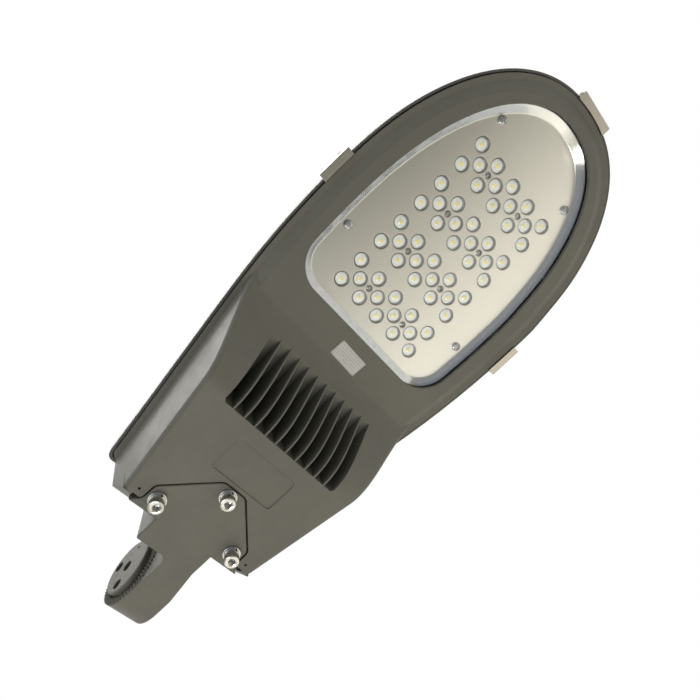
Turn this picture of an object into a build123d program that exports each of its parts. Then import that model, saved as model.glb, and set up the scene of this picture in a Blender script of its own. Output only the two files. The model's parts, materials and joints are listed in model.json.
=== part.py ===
from build123d import *
import os
from dataclasses import dataclass, replace
from math import atan2, copysign, cos, degrees, radians, sin, sqrt, tan

# Street lamp head with a hinged cover, in millimetres. The origin is on the pivot axis of the
# serrated knuckle, in the plane of its tooth crests. +X runs to the lamp's tip, +Z is up, and the
# light shines down. Plan shapes are mirrored about Y = 0.

# --- heights above the knuckle's pivot ---
PARTING_Z = 36.0  # top of the housing's flange
FRAME_Z = 27.0  # underside of the window frame
KNUCKLE_R = 34.5  # the knuckle's underside is level with the driver box
BOX_Z = -KNUCKLE_R
COVER_RISE = 39.5  # crown of the cover above its straight rim

# --- plan of the cover's rim ---
RIM_REAR_X = 55.0
RIM_REAR_HALF = 84.0
RIM_TAPER_RUN = 193.0
RIM_MAX_X = 396.0
RIM_MAX_HALF = 127.0
RIM_TIP_X = 596.0
RIM_CORNER_R = 8.0
RIM_CORNER_GROWTH = 0.35
FRONT_POWER = 2.23  # 2 would make the front an ellipse
FRONT_STEPS = 8

# --- plan of the window, by the width of the frame round it ---
FRAME_TIP_W = 25.0
FRAME_SIDE_W = 30.5
WINDOW_REAR_GAP = 16.0  # from the foot of the driver box's slope
WINDOW_MAX_SHIFT = 10.0  # widest point behind the rim's widest point
WINDOW_REAR_NARROWING = 3.3
WINDOW_TAPER_RUN = 40.0
WINDOW_CORNER_R = 33.0

# --- walls and clearances ---
WALL = 3.0
SLIP = 0.4  # between pieces that move past each other
THREAD_GAP = 0.05  # radial, screw to hole
PIN_GAP = 0.05  # radial, hinge pins to the part that turns
REACH = 400.0  # longer than any cut has to be

# --- lower housing ---
FLANGE_T = 3.0
SEAM_GAP = 1.2  # between the cover's skirt and the flange
FLANGE_STRIP = 4.6  # width of the flange outside the side wall
BOX_DRAFT = 9.5  # how far the driver box's walls lean in
BOX_EDGE_R = 4.0
TRAY_BAND = 9.0  # width of the sloped band round the window frame
TRAY_EDGE_R = 3.0
FRAME_T = 3.5
REAR_CHAMFER_FOOT_X = 79.0
REAR_CHAMFER_DEG = 55.0
CHEEK_INSET = 2.0  # rear corners of the driver box, in from the rim
CHEEK_CORNER_R = 5.0
CHEEK_FRONT_X = 80.0
ARM_BAY_HALF = 38.0  # the box stands back between its cheeks to clear the arm
SLOPE_START_X = 192.0
SLOPE_END_X = 285.0
SLOPE_EASE = 0.36
INNER_SLOPE_SHIFT = 2.2
DRAIN_R = 1.2
DRAIN_X = 87.0
DRAIN_Y = 60.0
PANEL_RECESS_X = 157.0  # cast name panel, left blank
PANEL_RECESS_SIZE = (34.0, 67.0)
PANEL_RECESS_R = 4.0
PANEL_RECESS_DEPTH = 0.7
PANEL_RECESS_Y = 1.5

# --- cooling fins in the driver box ---
FIN_COUNT = 10
FIN_T = 1.5
FIN_CORNER_R = 4.0
FIN_PITCH = 12.0
FIN_REAR_X = 189.0
FIN_CEILING_Z = 12.0

# --- cover ---
COVER_T = 2.5
SKIRT_T = 2.2
SKIRT_DROP = 1.0  # the skirt hangs this far below the parting
RIM_H = 5.0  # straight part of the cover above the parting
LEDGE_INSET = 9.0
LEDGE_T = 3.0
CROWN_W = 75.0
CROWN_STEPS = 6
CROWN_STEP_DEG = 16.0
GASKET_INSET = 5.0
GASKET_W = 3.2
GASKET_SQUEEZE_GAP = 0.3

# --- cover hinge ---
HINGE_X = 46.0
HINGE_Z = PARTING_Z + RIM_H
HINGE_PIN_R = 2.5
HINGE_EYE_R = 6.0
HINGE_LUG_HALF = 18.0
HINGE_EAR_W = 6.5
HINGE_ARM_GAP = 4.0
CIRCLIP_T = 1.0
CIRCLIP_R = 4.5

# --- toggle clips ---
CLIP_T = 1.5
CLIP_BEND_R = 1.3
CLIP_STANDOFF = 1.6  # pivot outside the rim
CLIP_PIVOT_Z = PARTING_Z + 14.0
CLIP_EYE_R = 3.0
CLIP_PIN_R = 1.5
CLIP_EYE_HALF = 8.0
CLIP_LUG_W = 4.0
CLIP_NECK_H = 6.0
CLIP_LIP_DROP = 4.6  # lip below the parting
SIDE_CLIP_SHIFT = 7.0  # behind the rim's widest point
SIDE_CLIP_LENGTH = 34.0
TIP_CLIP_LENGTH = 42.0

# --- window glass ---
GLASS_T = 4.0
GLASS_LAP = 6.0
GLASS_GASKET_T = 1.0
GLASS_GASKET_LAP = 1.5
GLASS_CLIP_BACK = (199.0, 169.0, 96.0)  # behind the window's tip
GLASS_CLIP_SIZE = (11.0, 9.0, 1.2)
GLASS_CLIP_OFFSET = 9.5
M3_R = 1.5
M3_HEAD_R = 2.75
M3_HEAD_H = 2.0
M3_BOSS_WALL = 1.5
GLASS_SCREW_L = 6.0
BOARD_SCREW_L = 5.0

# --- reflector panel and light modules ---
PANEL_Z = 41.0
PANEL_T = 1.0
PANEL_INSET = 6.0
SKIRT_FLARE = 1.5
REFLECTOR_GLASS_GAP = 0.3
M4_R = 2.0
M4_HEAD_R = 4.4
M4_HEAD_H = 2.6
PANEL_SCREW_L = 7.0
PANEL_SCREW_REAR_SHIFT = 23.0  # behind the window's widest point
PANEL_SCREW_TIP_SHIFT = 43.5  # behind the window's tip
PANEL_SCREW_EDGE = 14.0  # in from the window's outline
MODULE_COUNT = 4
MODULE_PITCH = 50.0
MODULE_TIP_GAP = 70.0  # first row of lights behind the window's tip
LED_STEP = 12.5
LED_PER_LONG_ROW = 5
BOARD_Z = 44.0
BOARD_T = 1.6
BOARD_SIZE = (38.0, 118.0)
BOARD_CORNER_R = 2.0
BOARD_SCREW_Y = 25.0
CHIP_SIDE = 3.5
CHIP_T = 0.8
LENS_R = 6.4
LENS_BARREL_H = 2.6
LENS_DOME_H = 3.6
LENS_POCKET_R = 2.9
LENS_POCKET_H = 1.6
PANEL_LENS_GAP = 0.8

# --- heat sink ---
SINK_BASE_T = 4.0
SINK_OVERHANG = 8.0
SINK_POST_BACK = (231.0, 141.0, 51.0)  # behind the window's tip
SINK_POST_OFFSET = 10.5
SINK_POST_R = 4.0
SINK_EAR_R = 5.5
SINK_FIN_H = 17.0
SINK_FIN_T = 2.5
SINK_FIN_PITCH = 14.0
SINK_FIN_COUNT = 11
M5_R = 2.5
M5_HEAD_R = 4.25
M5_HEAD_H = 3.5
SINK_SCREW_L = 14.0
EARTH_SCREW_L = 9.0

# --- mounting arm ---
PLATE_T = 8.0
PLATE_GAP = 1.5
PLATE_PAD_T = 4.0
PLATE_REAR_X = 74.0
PLATE_POINTS = ((82.0, 52.0), (97.0, 51.5), (135.0, 12.0))
PLATE_REAR_HALF = 60.0
PLATE_CORNER_R = 7.0
PLATE_EDGE_R = 1.0
ARM_HALF = 31.0
ARM_SHOULDER_X = 50.0
ARM_SHOULDER_R = 6.0  # hollow corner beside the toothed ring
ARM_TOP_Z = 18.0
ARM_TOP_X = 30.0
ARM_LEAN = 5.0
ARM_WALL = 5.0
ARM_WEB = 3.5  # between the cable trough and the joint plane
ARM_CAVITY_X = 38.0
ARM_EDGE_R = 1.5
KNUCKLE_BACK_Y = 36.0
TOOTH_COUNT = 60
TOOTH_H = 2.0
TOOTH_W = 2.8
TOOTH_RING_W = 6.0
GROOVE_W = 2.0
GROOVE_DEPTH = 3.0
SPIGOT_H = 4.0
SPIGOT_CHAMFER = 1.0
PIVOT_BORE_R = 5.25
NUT_FLATS = 17.0
NUT_DEPTH = 8.0
LOCK_HOLE_R = 5.0
LOCK_HOLE_ORBIT = 18.0
LOCK_HOLE_DEG = (139.0, 237.0)
INDEX_HOLE_R = 1.4
INDEX_HOLE_ORBIT = 19.0
INDEX_HOLE_DEG = 51.0
INDEX_HOLE_DEPTH = 8.0

# --- M8 fixings of the arm ---
M8_R = 4.0
M8_HEAD_R = 6.5
M8_HEAD_H = 8.0
M8_HEAD_CHAMFER = 0.7
M8_SOCKET_FLATS = 6.0
M8_SOCKET_DEPTH = 4.0
M8_THREAD_IN_BOSS = 14.0
M8_BOSS_R = 8.0
M8_BOSS_H = 18.0
M8_CLEARANCE = 0.4
FLAT_WASHER_R = 8.0
FLAT_WASHER_T = 1.6
SPRING_WASHER_R = 6.4
SPRING_WASHER_T = 2.2
SPRING_WASHER_SPLIT = 1.2
ARM_BOLT_SPOTS = ((88.0, 42.0), (88.0, -42.0), (127.0, 0.0))

# --- cable entry ---
GLAND_Y = 15.7
GLAND_Z = -6.0
GLAND_PAD_R = 10.0
GLAND_PAD_X = (62.0, 74.5)
GLAND_THREAD_R = 8.0
GLAND_HEX_FLATS = 19.0
GLAND_HEX_T = 5.0
GLAND_CAP_R = 8.8
GLAND_CAP_H = 12.0
GLAND_BORE_R = 4.5
LOCKNUT_T = 4.0
GLAND_SEAL_T = 1.5

# --- driver box contents ---
DRIVER_X = (142.0, 184.0)
DRIVER_HALF = 62.0
DRIVER_H = 32.0
DRIVER_EAR_Z = 9.0
DRIVER_EAR_T = 1.5
DRIVER_EAR_LENGTH = 15.0
DRIVER_EAR_W = 18.0
DRIVER_HOLE_SHARE = 0.6  # screw hole along the ear
DRIVER_SCREW_HEAD_R = 3.5
DRIVER_SCREW_L = 8.0
DRIVER_POST_R = 4.5
DRIVER_EDGE_R = 2.5
TERMINAL_X = (102.0, 130.0)
TERMINAL_Y = (-70.0, -54.0)
TERMINAL_H = 17.0
TERMINAL_POLES = 3
TERMINAL_WELL_R = 2.6
TERMINAL_WELL_DEPTH = 7.0
TERMINAL_MOUTH_R = 2.0
TERMINAL_MOUTH_Z = 6.0
TERMINAL_SCREW_R = 2.4
TERMINAL_SCREW_H = 3.0
TERMINAL_SLOT = (4.0, 0.8, 1.0)
CASE_EDGE = 2.0
SURGE_X = (102.0, 132.0)
SURGE_Y = (54.0, 70.0)
SURGE_H = 23.0
EARTH_SPOT = (104.0, 22.0)
EARTH_BOSS_H = 8.0

# --- label ---
LABEL_SPOT = (279.0, 7.0)
LABEL_SIZE = (17.0, 33.0)
LABEL_T = 0.2
LABEL_TILT = 2.5


@dataclass(frozen=True)
class Plan:
    """A lamp-shaped outline: a straight rear edge, tapering sides and a blunt round front."""

    rear_x: float
    rear_half: float
    run: float
    max_x: float
    max_half: float
    tip_x: float
    corner: float
    growth: float

    def turn(self):
        return 2 * atan2(self.max_half - self.rear_half, self.max_x - self.rear_x + self.run)

    def side_radius(self):
        straight = self.run * cos(self.turn())
        return (self.max_x - self.rear_x - straight) / sin(self.turn())

    def centre_y(self):
        return self.max_half - self.side_radius()

    def side_point(self, inset, angle):
        radius = self.side_radius() - inset
        return (self.max_x - radius * sin(angle), self.centre_y() + radius * cos(angle))

    def half(self, x, inset=0.0):
        """Half width at x."""
        if x >= self.max_x:
            share = (x - self.max_x) / (self.tip_x - self.max_x - inset)
            return (self.max_half - inset) * (1 - share**FRONT_POWER) ** (1 / FRONT_POWER)
        joint_x, joint_y = self.side_point(inset, self.turn())
        if x < joint_x:
            return joint_y - (joint_x - x) * tan(self.turn())
        radius = self.side_radius() - inset
        return self.centre_y() + sqrt(radius**2 - (self.max_x - x) ** 2)

    def lean(self, x):
        """Angle of the left side's outline at x."""
        return atan2(self.half(x + 1) - self.half(x - 1), 2)

    def front(self, inset):
        """The front curve, from the right side round to the left."""
        reach = self.tip_x - self.max_x - inset
        width = self.max_half - inset
        points = []
        for step in range(-FRONT_STEPS, FRONT_STEPS + 1):
            angle = radians(90 * step / FRONT_STEPS)
            x = self.max_x + reach * abs(cos(angle)) ** (2 / FRONT_POWER)
            y = copysign(width * abs(sin(angle)) ** (2 / FRONT_POWER), angle)
            points.append((x, y))
        return Spline(*points, tangents=[(1, 0), (-1, 0)])

    def carried_back(self, length):
        """The same outline with its straight sides run on to a rear edge further back."""
        return replace(
            self,
            rear_x=self.rear_x - length,
            rear_half=self.rear_half - length * tan(self.turn()),
            run=self.run + length / cos(self.turn()),
            corner=CHEEK_CORNER_R,
            growth=0.0,
        )

    def face(self, inset, z):
        """The outline moved in by inset, as a face at height z."""
        rear_x = self.rear_x + inset
        rear_y = self.half(rear_x, inset)
        joint = self.side_point(inset, self.turn())
        middle = self.side_point(inset, self.turn() / 2)
        widest = (self.max_x, self.max_half - inset)
        left = [Line((rear_x, rear_y), joint), ThreePointArc(joint, middle, widest)]
        right = [edge.mirror(Plane.XZ) for edge in left]
        rear = Line((rear_x, rear_y), (rear_x, -rear_y))
        outline = Face(Wire([rear, self.front(inset), *left, *right]))
        corners = outline.vertices().sort_by(Axis.X)[:2]
        rounded = fillet(corners, self.corner + self.growth * inset)
        return Pos(0, 0, z) * rounded


RIM = Plan(
    RIM_REAR_X, RIM_REAR_HALF, RIM_TAPER_RUN, RIM_MAX_X, RIM_MAX_HALF, RIM_TIP_X,
    RIM_CORNER_R, RIM_CORNER_GROWTH,
)
WINDOW_MAX_X = RIM_MAX_X - WINDOW_MAX_SHIFT
WINDOW_MAX_HALF = RIM_MAX_HALF - FRAME_SIDE_W
WINDOW_TIP_X = RIM_TIP_X - FRAME_TIP_W
WINDOW = Plan(
    SLOPE_END_X + WINDOW_REAR_GAP, WINDOW_MAX_HALF - WINDOW_REAR_NARROWING, WINDOW_TAPER_RUN,
    WINDOW_MAX_X, WINDOW_MAX_HALF, WINDOW_TIP_X, WINDOW_CORNER_R, -1.0,
)

# --- values worked out from the driving ones ---
FLANGE_Z = PARTING_Z - FLANGE_T
FLANGE_INSET = SKIRT_T + SEAM_GAP
WALL_INSET = FLANGE_INSET + FLANGE_STRIP
TRAY_FLOOR_Z = FRAME_Z + FRAME_T
BOX_FLOOR_Z = BOX_Z + WALL
PLATE_SEAT_Z = BOX_Z + PLATE_T
RIM_TOP_Z = PARTING_Z + RIM_H
LEDGE_Z = RIM_TOP_Z - LEDGE_T
GLASS_Z = TRAY_FLOOR_Z + GLASS_GASKET_T
GLASS_TOP_Z = GLASS_Z + GLASS_T
SINK_Z = BOARD_Z + BOARD_T
SINK_TOP_Z = SINK_Z + SINK_BASE_T
SPIGOT_R = KNUCKLE_R - TOOTH_RING_W - GROOVE_W
FIN_RECESS_HALF = (FIN_COUNT + 1) * FIN_PITCH / 2 - FIN_T / 2
BOLT_SEAT_Z = BOX_Z - FLAT_WASHER_T - SPRING_WASHER_T
BOSS_TOP_Z = PLATE_SEAT_Z + M8_BOSS_H
DRIVER_MID_X = (DRIVER_X[0] + DRIVER_X[1]) / 2
DRIVER_EAR_TOP = BOX_FLOOR_Z + DRIVER_EAR_Z + DRIVER_EAR_T
DRIVER_POST_Y = DRIVER_HALF + DRIVER_EAR_LENGTH * DRIVER_HOLE_SHARE
EARTH_TOP_Z = PLATE_SEAT_Z + PLATE_PAD_T + EARTH_BOSS_H
PANEL_TOP_Z = PANEL_Z + PANEL_T
BOTH_SIDES = (1, -1)
HEX_TURN = Rot(0, 90, 0)  # lays a hexagon along X with two flats upright


def slab(face, height):
    """A flat face raised by height, downwards if it is negative."""
    return extrude(face, amount=height, dir=(0, 0, 1))


def band(plan, outer, inner, z, height):
    """A ring between two insets of a plan."""
    return slab(plan.face(outer, z), height) - slab(plan.face(inner, z), height)


def block(x, y, z):
    """A box from three (low, high) pairs."""
    size = [pair[1] - pair[0] for pair in (x, y, z)]
    middle = [(pair[1] + pair[0]) / 2 for pair in (x, y, z)]
    return Pos(*middle) * Box(*size)


def rod(radius, start, end, x=0.0, y=0.0):
    """An upright cylinder from height start to height end."""
    return Pos(x, y, (start + end) / 2) * Cylinder(radius, end - start)


def cross_rod(radius, start, end, x=0.0, z=0.0):
    """A cylinder along Y from start to end."""
    return Pos(x, (start + end) / 2, z) * Rot(90, 0, 0) * Cylinder(radius, end - start)


def long_rod(radius, start, end, y=0.0, z=0.0):
    """A cylinder along X from start to end."""
    return Pos((start + end) / 2, y, z) * Rot(0, 90, 0) * Cylinder(radius, end - start)


def hexagon(flats, height):
    """A hexagonal prism centred on the origin, across-flats size given."""
    sketch = RegularPolygon(flats / 2, 6, major_radius=False)
    return extrude(sketch, amount=height / 2, both=True)


def side_wall(profile):
    """A face in the XZ plane made into a solid across the whole lamp."""
    return extrude(profile, amount=REACH, both=True)


def upright(points):
    """A polygon in the XZ plane."""
    return Plane.XZ * make_face(Polyline(*points, close=True))


def join(pieces):
    """Separate solids as one compound."""
    return Compound(children=[solid for piece in pieces for solid in piece.solids()])


def save(name, shape):
    export_step(shape, os.path.join("parts", name + ".step"))


def mirrored_spots(spots):
    return [(x, side * y) for x, y in spots for side in BOTH_SIDES]


def led_spots(module):
    """The 14 light positions of a module, in three staggered rows."""
    first_x = module_x(module) + LED_STEP
    spots = []
    for row in range(3):
        count = LED_PER_LONG_ROW - row % 2
        first_y = -(count - 1) * LED_STEP
        spots += [(first_x - row * LED_STEP, first_y + 2 * LED_STEP * i) for i in range(count)]
    return spots


def module_x(module):
    return WINDOW_TIP_X - MODULE_TIP_GAP - LED_STEP - module * MODULE_PITCH


def board_screw_spots(module):
    return [(module_x(module), side * BOARD_SCREW_Y) for side in BOTH_SIDES]


def window_edge_spots(distances, outset):
    """Mirrored places beside the window's outline, at distances behind its tip."""
    spots = []
    for distance in distances:
        x = WINDOW_TIP_X - distance
        lean = WINDOW.lean(x)
        spots.append((x - outset * sin(lean), WINDOW.half(x) + outset * cos(lean)))
    return mirrored_spots(spots)


def sink_post_spots():
    return window_edge_spots(SINK_POST_BACK, SINK_POST_OFFSET)


def glass_clip_spots():
    return window_edge_spots(GLASS_CLIP_BACK, GLASS_CLIP_OFFSET)


def panel_screw_spots():
    rear = WINDOW_TIP_X - WINDOW_MAX_X + PANEL_SCREW_REAR_SHIFT
    spots = []
    for x in (WINDOW_TIP_X - rear, WINDOW_TIP_X - PANEL_SCREW_TIP_SHIFT):
        spots.append((x, WINDOW.half(x) - PANEL_SCREW_EDGE))
    return mirrored_spots(spots)


# ---------------------------------------------------------------- lower housing
def box_profile(inner):
    """Side view of the driver box: chamfered heel, flat bottom and the slope to the frame."""
    rise = WALL if inner else 0.0
    shift = -INNER_SLOPE_SHIFT if inner else 0.0
    low, high = BOX_Z + rise, FLANGE_Z + rise
    heel_x = REAR_CHAMFER_FOOT_X + rise / 3
    heel_z = low + (heel_x - RIM_REAR_X) * tan(radians(REAR_CHAMFER_DEG))
    ease = SLOPE_EASE * (SLOPE_END_X - SLOPE_START_X)
    start, end = SLOPE_START_X + shift, SLOPE_END_X + shift
    slope = Bezier((start, low), (start + ease, low), (end - ease, high), (end, high))
    lines = Polyline((end, high), (RIM_REAR_X, high), (RIM_REAR_X, heel_z), (heel_x, low),
                     (start, low))
    return Plane.XZ * Face(Wire([slope, *lines.edges()]))


def wall_inset(extra, z):
    """How far in from the rim the driver box's tapered wall is at height z."""
    return WALL_INSET + extra + BOX_DRAFT * (FLANGE_Z - z) / (FLANGE_Z - BOX_Z)


def cheeks(extra, low, high):
    """The box's rear corners, which stand further back on both sides of the arm."""
    levels = []
    for z in (low, high):
        inset = wall_inset(extra, z)
        plan = RIM.carried_back(inset - CHEEK_INSET - extra)
        levels.append(plan.face(inset, z))
    bay = ARM_BAY_HALF + extra
    x = (0, CHEEK_FRONT_X)
    sides = block(x, (bay, REACH), (low, high)) + block(x, (-REACH, -bay), (low, high))
    return loft(levels, ruled=True) & sides


def box_body(extra, low, high):
    """Tapered driver box, its walls moved in by extra."""
    levels = [RIM.face(wall_inset(extra, z), z) for z in (low, high)]
    return loft(levels, ruled=True) + cheeks(extra, low, high)


def outer_box():
    """The driver box's outside, its long edges rounded."""
    box = box_body(0, BOX_Z, FLANGE_Z) & side_wall(box_profile(inner=False))
    floor_edges = box.edges().group_by(Axis.Z)[0].filter_by(GeomType.LINE).sort_by(Axis.Y)
    return fillet([floor_edges[0], floor_edges[-1]], BOX_EDGE_R)


def tray_body():
    """The shallow front tray with its sloped band."""
    lower = RIM.face(WALL_INSET + 1 + TRAY_BAND, FRAME_Z)
    tray = loft([lower, RIM.face(WALL_INSET + 1, FLANGE_Z)], ruled=True)
    return fillet(tray.edges().group_by(Axis.Z)[0], TRAY_EDGE_R)


def tray_cavity():
    """Hollow of the front tray, above the frame."""
    lower = RIM.face(WALL_INSET + TRAY_BAND, TRAY_FLOOR_Z)
    upper = RIM.face(WALL_INSET + WALL + 1, FLANGE_Z + 1)
    slope = loft([lower, upper], ruled=True)
    return slope + slab(RIM.face(WALL_INSET + WALL + 1, FLANGE_Z + 1), WALL)


def fin_recess_block():
    """The metal kept round the fins."""
    half = FIN_RECESS_HALF + WALL
    x = (FIN_REAR_X - WALL, SLOPE_END_X)
    return block(x, (-half, half), (BOX_Z - WALL, FIN_CEILING_Z + WALL))


def fin_slots():
    """The gaps between the cooling fins."""
    width = FIN_PITCH - FIN_T
    first = -FIN_COUNT * FIN_PITCH / 2
    slots = []
    for i in range(FIN_COUNT + 1):
        middle = first + i * FIN_PITCH
        y = (middle - width / 2, middle + width / 2)
        slots.append(block((FIN_REAR_X, SLOPE_END_X), y, (BOX_Z - WALL, FIN_CEILING_Z)))
    for end in (0, FIN_COUNT):
        upright_edges = slots[end].edges().filter_by(Axis.Z)
        corner = upright_edges.sort_by(lambda e: abs(e.center().Y) - e.center().X)[-1]
        slots[end] = fillet(corner, FIN_CORNER_R)
    return slots


def plate_face(grow):
    """Plan of the arm's plate, grown by a clearance."""
    left = [(PLATE_REAR_X, PLATE_REAR_HALF), *PLATE_POINTS]
    right = [(x, -y) for x, y in reversed(left)]
    outline = make_face(Polyline(*left, *right, close=True))
    rounded = fillet(outline.vertices().sort_by(Axis.X)[2:], PLATE_CORNER_R)
    if grow:
        rounded = offset(rounded, grow)
    return rounded


def housing_bosses():
    """Posts and pads that stand inside the housing."""
    plate_pad = Pos(0, 0, BOX_Z) * slab(plate_face(PLATE_GAP + WALL), PLATE_T + PLATE_PAD_T)
    pieces = [plate_pad & side_wall(box_profile(inner=False))]
    pieces += [rod(M8_BOSS_R, PLATE_SEAT_Z, BOSS_TOP_Z, x, y) for x, y in ARM_BOLT_SPOTS]
    pieces += [rod(SINK_POST_R, TRAY_FLOOR_Z, SINK_Z, x, y) for x, y in sink_post_spots()]
    clip_boss_r = M3_R + M3_BOSS_WALL
    pieces += [rod(clip_boss_r, FRAME_Z + 1, GLASS_TOP_Z, x, y) for x, y in glass_clip_spots()]
    for side in BOTH_SIDES:
        ear_z = DRIVER_EAR_TOP - DRIVER_EAR_T
        pieces.append(rod(DRIVER_POST_R, BOX_FLOOR_Z, ear_z, DRIVER_MID_X, side * DRIVER_POST_Y))
    pieces.append(rod(M5_HEAD_R + 1, PLATE_SEAT_Z, EARTH_TOP_Z, *EARTH_SPOT))
    pieces.append(long_rod(GLAND_PAD_R, *GLAND_PAD_X, GLAND_Y, GLAND_Z))
    return pieces


def housing_holes():
    """Bores in the housing."""
    cuts = []
    m8_depth = PLATE_SEAT_Z + M8_THREAD_IN_BOSS + 1
    for x, y in ARM_BOLT_SPOTS:
        cuts.append(rod(M8_R + THREAD_GAP, BOX_Z, m8_depth, x, y))
    for x, y in sink_post_spots():
        cuts.append(rod(M5_R + THREAD_GAP, TRAY_FLOOR_Z + 1, SINK_Z, x, y))
    for x, y in glass_clip_spots():
        cuts.append(rod(M3_R + THREAD_GAP, FRAME_Z + 2, GLASS_TOP_Z, x, y))
    for side in BOTH_SIDES:
        top = DRIVER_EAR_TOP - DRIVER_EAR_T
        y = side * DRIVER_POST_Y
        cuts.append(rod(M4_R + THREAD_GAP, BOX_FLOOR_Z, top, DRIVER_MID_X, y))
        cuts.append(rod(DRAIN_R, BOX_Z - 1, BOX_FLOOR_Z + 1, DRAIN_X, side * DRAIN_Y))
    cuts.append(rod(M5_R + THREAD_GAP, PLATE_SEAT_Z + 1, EARTH_TOP_Z, *EARTH_SPOT))
    gland_x = (GLAND_PAD_X[0] - 1, GLAND_PAD_X[1] + 1)
    cuts.append(long_rod(GLAND_THREAD_R + THREAD_GAP, *gland_x, GLAND_Y, GLAND_Z))
    return cuts


def hinge_ears():
    """The housing's two hinge ears, reaching back under the cover's skirt."""
    low = ARM_TOP_Z + HINGE_ARM_GAP
    root_x = RIM_REAR_X + WALL_INSET + WALL
    ears = []
    for side in BOTH_SIDES:
        inner = side * (HINGE_LUG_HALF + SLIP)
        outer = inner + side * HINGE_EAR_W
        y = (min(inner, outer), max(inner, outer))
        eye = cross_rod(HINGE_EYE_R, *y, x=HINGE_X, z=HINGE_Z)
        post = block((HINGE_X - HINGE_EYE_R, HINGE_X + HINGE_EYE_R), y, (low, HINGE_Z))
        foot = block((HINGE_X, root_x), y, (low, FLANGE_Z))
        ears.append(eye + post + foot)
    return ears


def lower_housing():
    shell = outer_box() + tray_body() + slab(RIM.face(FLANGE_INSET, FLANGE_Z), FLANGE_T)
    hollow = box_body(WALL, BOX_FLOOR_Z, PARTING_Z) & side_wall(box_profile(inner=True))
    hollow = hollow - fin_recess_block()
    shell = shell - hollow - tray_cavity() - slab(WINDOW.face(0, FRAME_Z - 1), FRAME_T + 2)
    shell = shell - fin_slots()
    shell = shell + housing_bosses() + hinge_ears()
    name_panel = Pos(PANEL_RECESS_X, PANEL_RECESS_Y, BOX_Z) * RectangleRounded(
        *PANEL_RECESS_SIZE, PANEL_RECESS_R
    )
    recess = Pos(0, 0, BOX_Z - 1) * slab(plate_face(PLATE_GAP), PLATE_T + 1)
    rear_notch = block(
        (RIM_REAR_X - WALL, PLATE_REAR_X + PLATE_CORNER_R),
        (-PLATE_REAR_HALF - PLATE_GAP, PLATE_REAR_HALF + PLATE_GAP),
        (BOX_Z - 1, PLATE_SEAT_Z),
    )
    pin_hole = cross_rod(HINGE_PIN_R + THREAD_GAP, -REACH / 2, REACH / 2, HINGE_X, HINGE_Z)
    shell = shell - recess - rear_notch - slab(name_panel, PANEL_RECESS_DEPTH)
    return shell - housing_holes() - pin_hole


# ---------------------------------------------------------------- cover
def crown(wall):
    """The cover's dome; with a wall given, the space inside it."""
    faces = []
    for step in range(CROWN_STEPS):
        angle = radians(step * CROWN_STEP_DEG)
        inset = CROWN_W * (1 - cos(angle)) + wall * cos(angle)
        z = RIM_TOP_Z + COVER_RISE * sin(angle) - wall * sin(angle)
        faces.append(RIM.face(inset, z))
    return loft(faces)


def clip_placings():
    """Where each toggle clip sits: its name, place, length."""
    x = RIM_MAX_X - SIDE_CLIP_SHIFT
    side = RIM.half(x)
    return (
        ("left", Pos(x, side, 0) * Rot(0, 0, 90), SIDE_CLIP_LENGTH),
        ("right", Pos(x, -side, 0) * Rot(0, 0, -90), SIDE_CLIP_LENGTH),
        ("tip", Pos(RIM_TIP_X, 0, 0), TIP_CLIP_LENGTH),
    )


def clip_lugs(place):
    """The cover's pair of lugs that carry a clip's pin."""
    lugs = []
    for side in BOTH_SIDES:
        inner = side * (CLIP_EYE_HALF + SLIP)
        outer = inner + side * CLIP_LUG_W
        y = (min(inner, outer), max(inner, outer))
        eye = cross_rod(CLIP_EYE_R, *y, x=CLIP_STANDOFF, z=CLIP_PIVOT_Z)
        root = block(
            (-COVER_T - SKIRT_T, CLIP_STANDOFF), y,
            (CLIP_PIVOT_Z - CLIP_EYE_R, CLIP_PIVOT_Z + CLIP_EYE_R),
        )
        hole = cross_rod(CLIP_PIN_R + THREAD_GAP, *y, x=CLIP_STANDOFF, z=CLIP_PIVOT_Z)
        lugs.append(place * (eye + root - hole))
    return lugs


def cover_hinge_lug():
    """The cover's hinge lug between the housing's ears."""
    y = (-HINGE_LUG_HALF, HINGE_LUG_HALF)
    eye = cross_rod(HINGE_EYE_R, *y, x=HINGE_X, z=HINGE_Z)
    low = PARTING_Z - SKIRT_DROP
    root = block((HINGE_X, RIM_REAR_X + SKIRT_T), y, (low, HINGE_Z + HINGE_EYE_R))
    hole = cross_rod(HINGE_PIN_R + PIN_GAP, *y, x=HINGE_X, z=HINGE_Z)
    return eye + root - hole


def cover():
    skirt = band(RIM, 0, SKIRT_T, PARTING_Z - SKIRT_DROP, RIM_H + SKIRT_DROP)
    ledge = band(RIM, 0, LEDGE_INSET, LEDGE_Z, LEDGE_T)
    dome = crown(0.0) - crown(COVER_T)
    shell = skirt + ledge + dome
    lugs = [lug for _, place, _ in clip_placings() for lug in clip_lugs(place)]
    return shell + lugs + [cover_hinge_lug()]


def cover_gasket():
    height = LEDGE_Z - PARTING_Z - GASKET_SQUEEZE_GAP
    return band(RIM, GASKET_INSET, GASKET_INSET + GASKET_W, PARTING_Z, height)


def hinge_pin():
    half = HINGE_LUG_HALF + SLIP + HINGE_EAR_W + 2 * CIRCLIP_T
    return cross_rod(HINGE_PIN_R, -half, half, HINGE_X, HINGE_Z)


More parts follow.
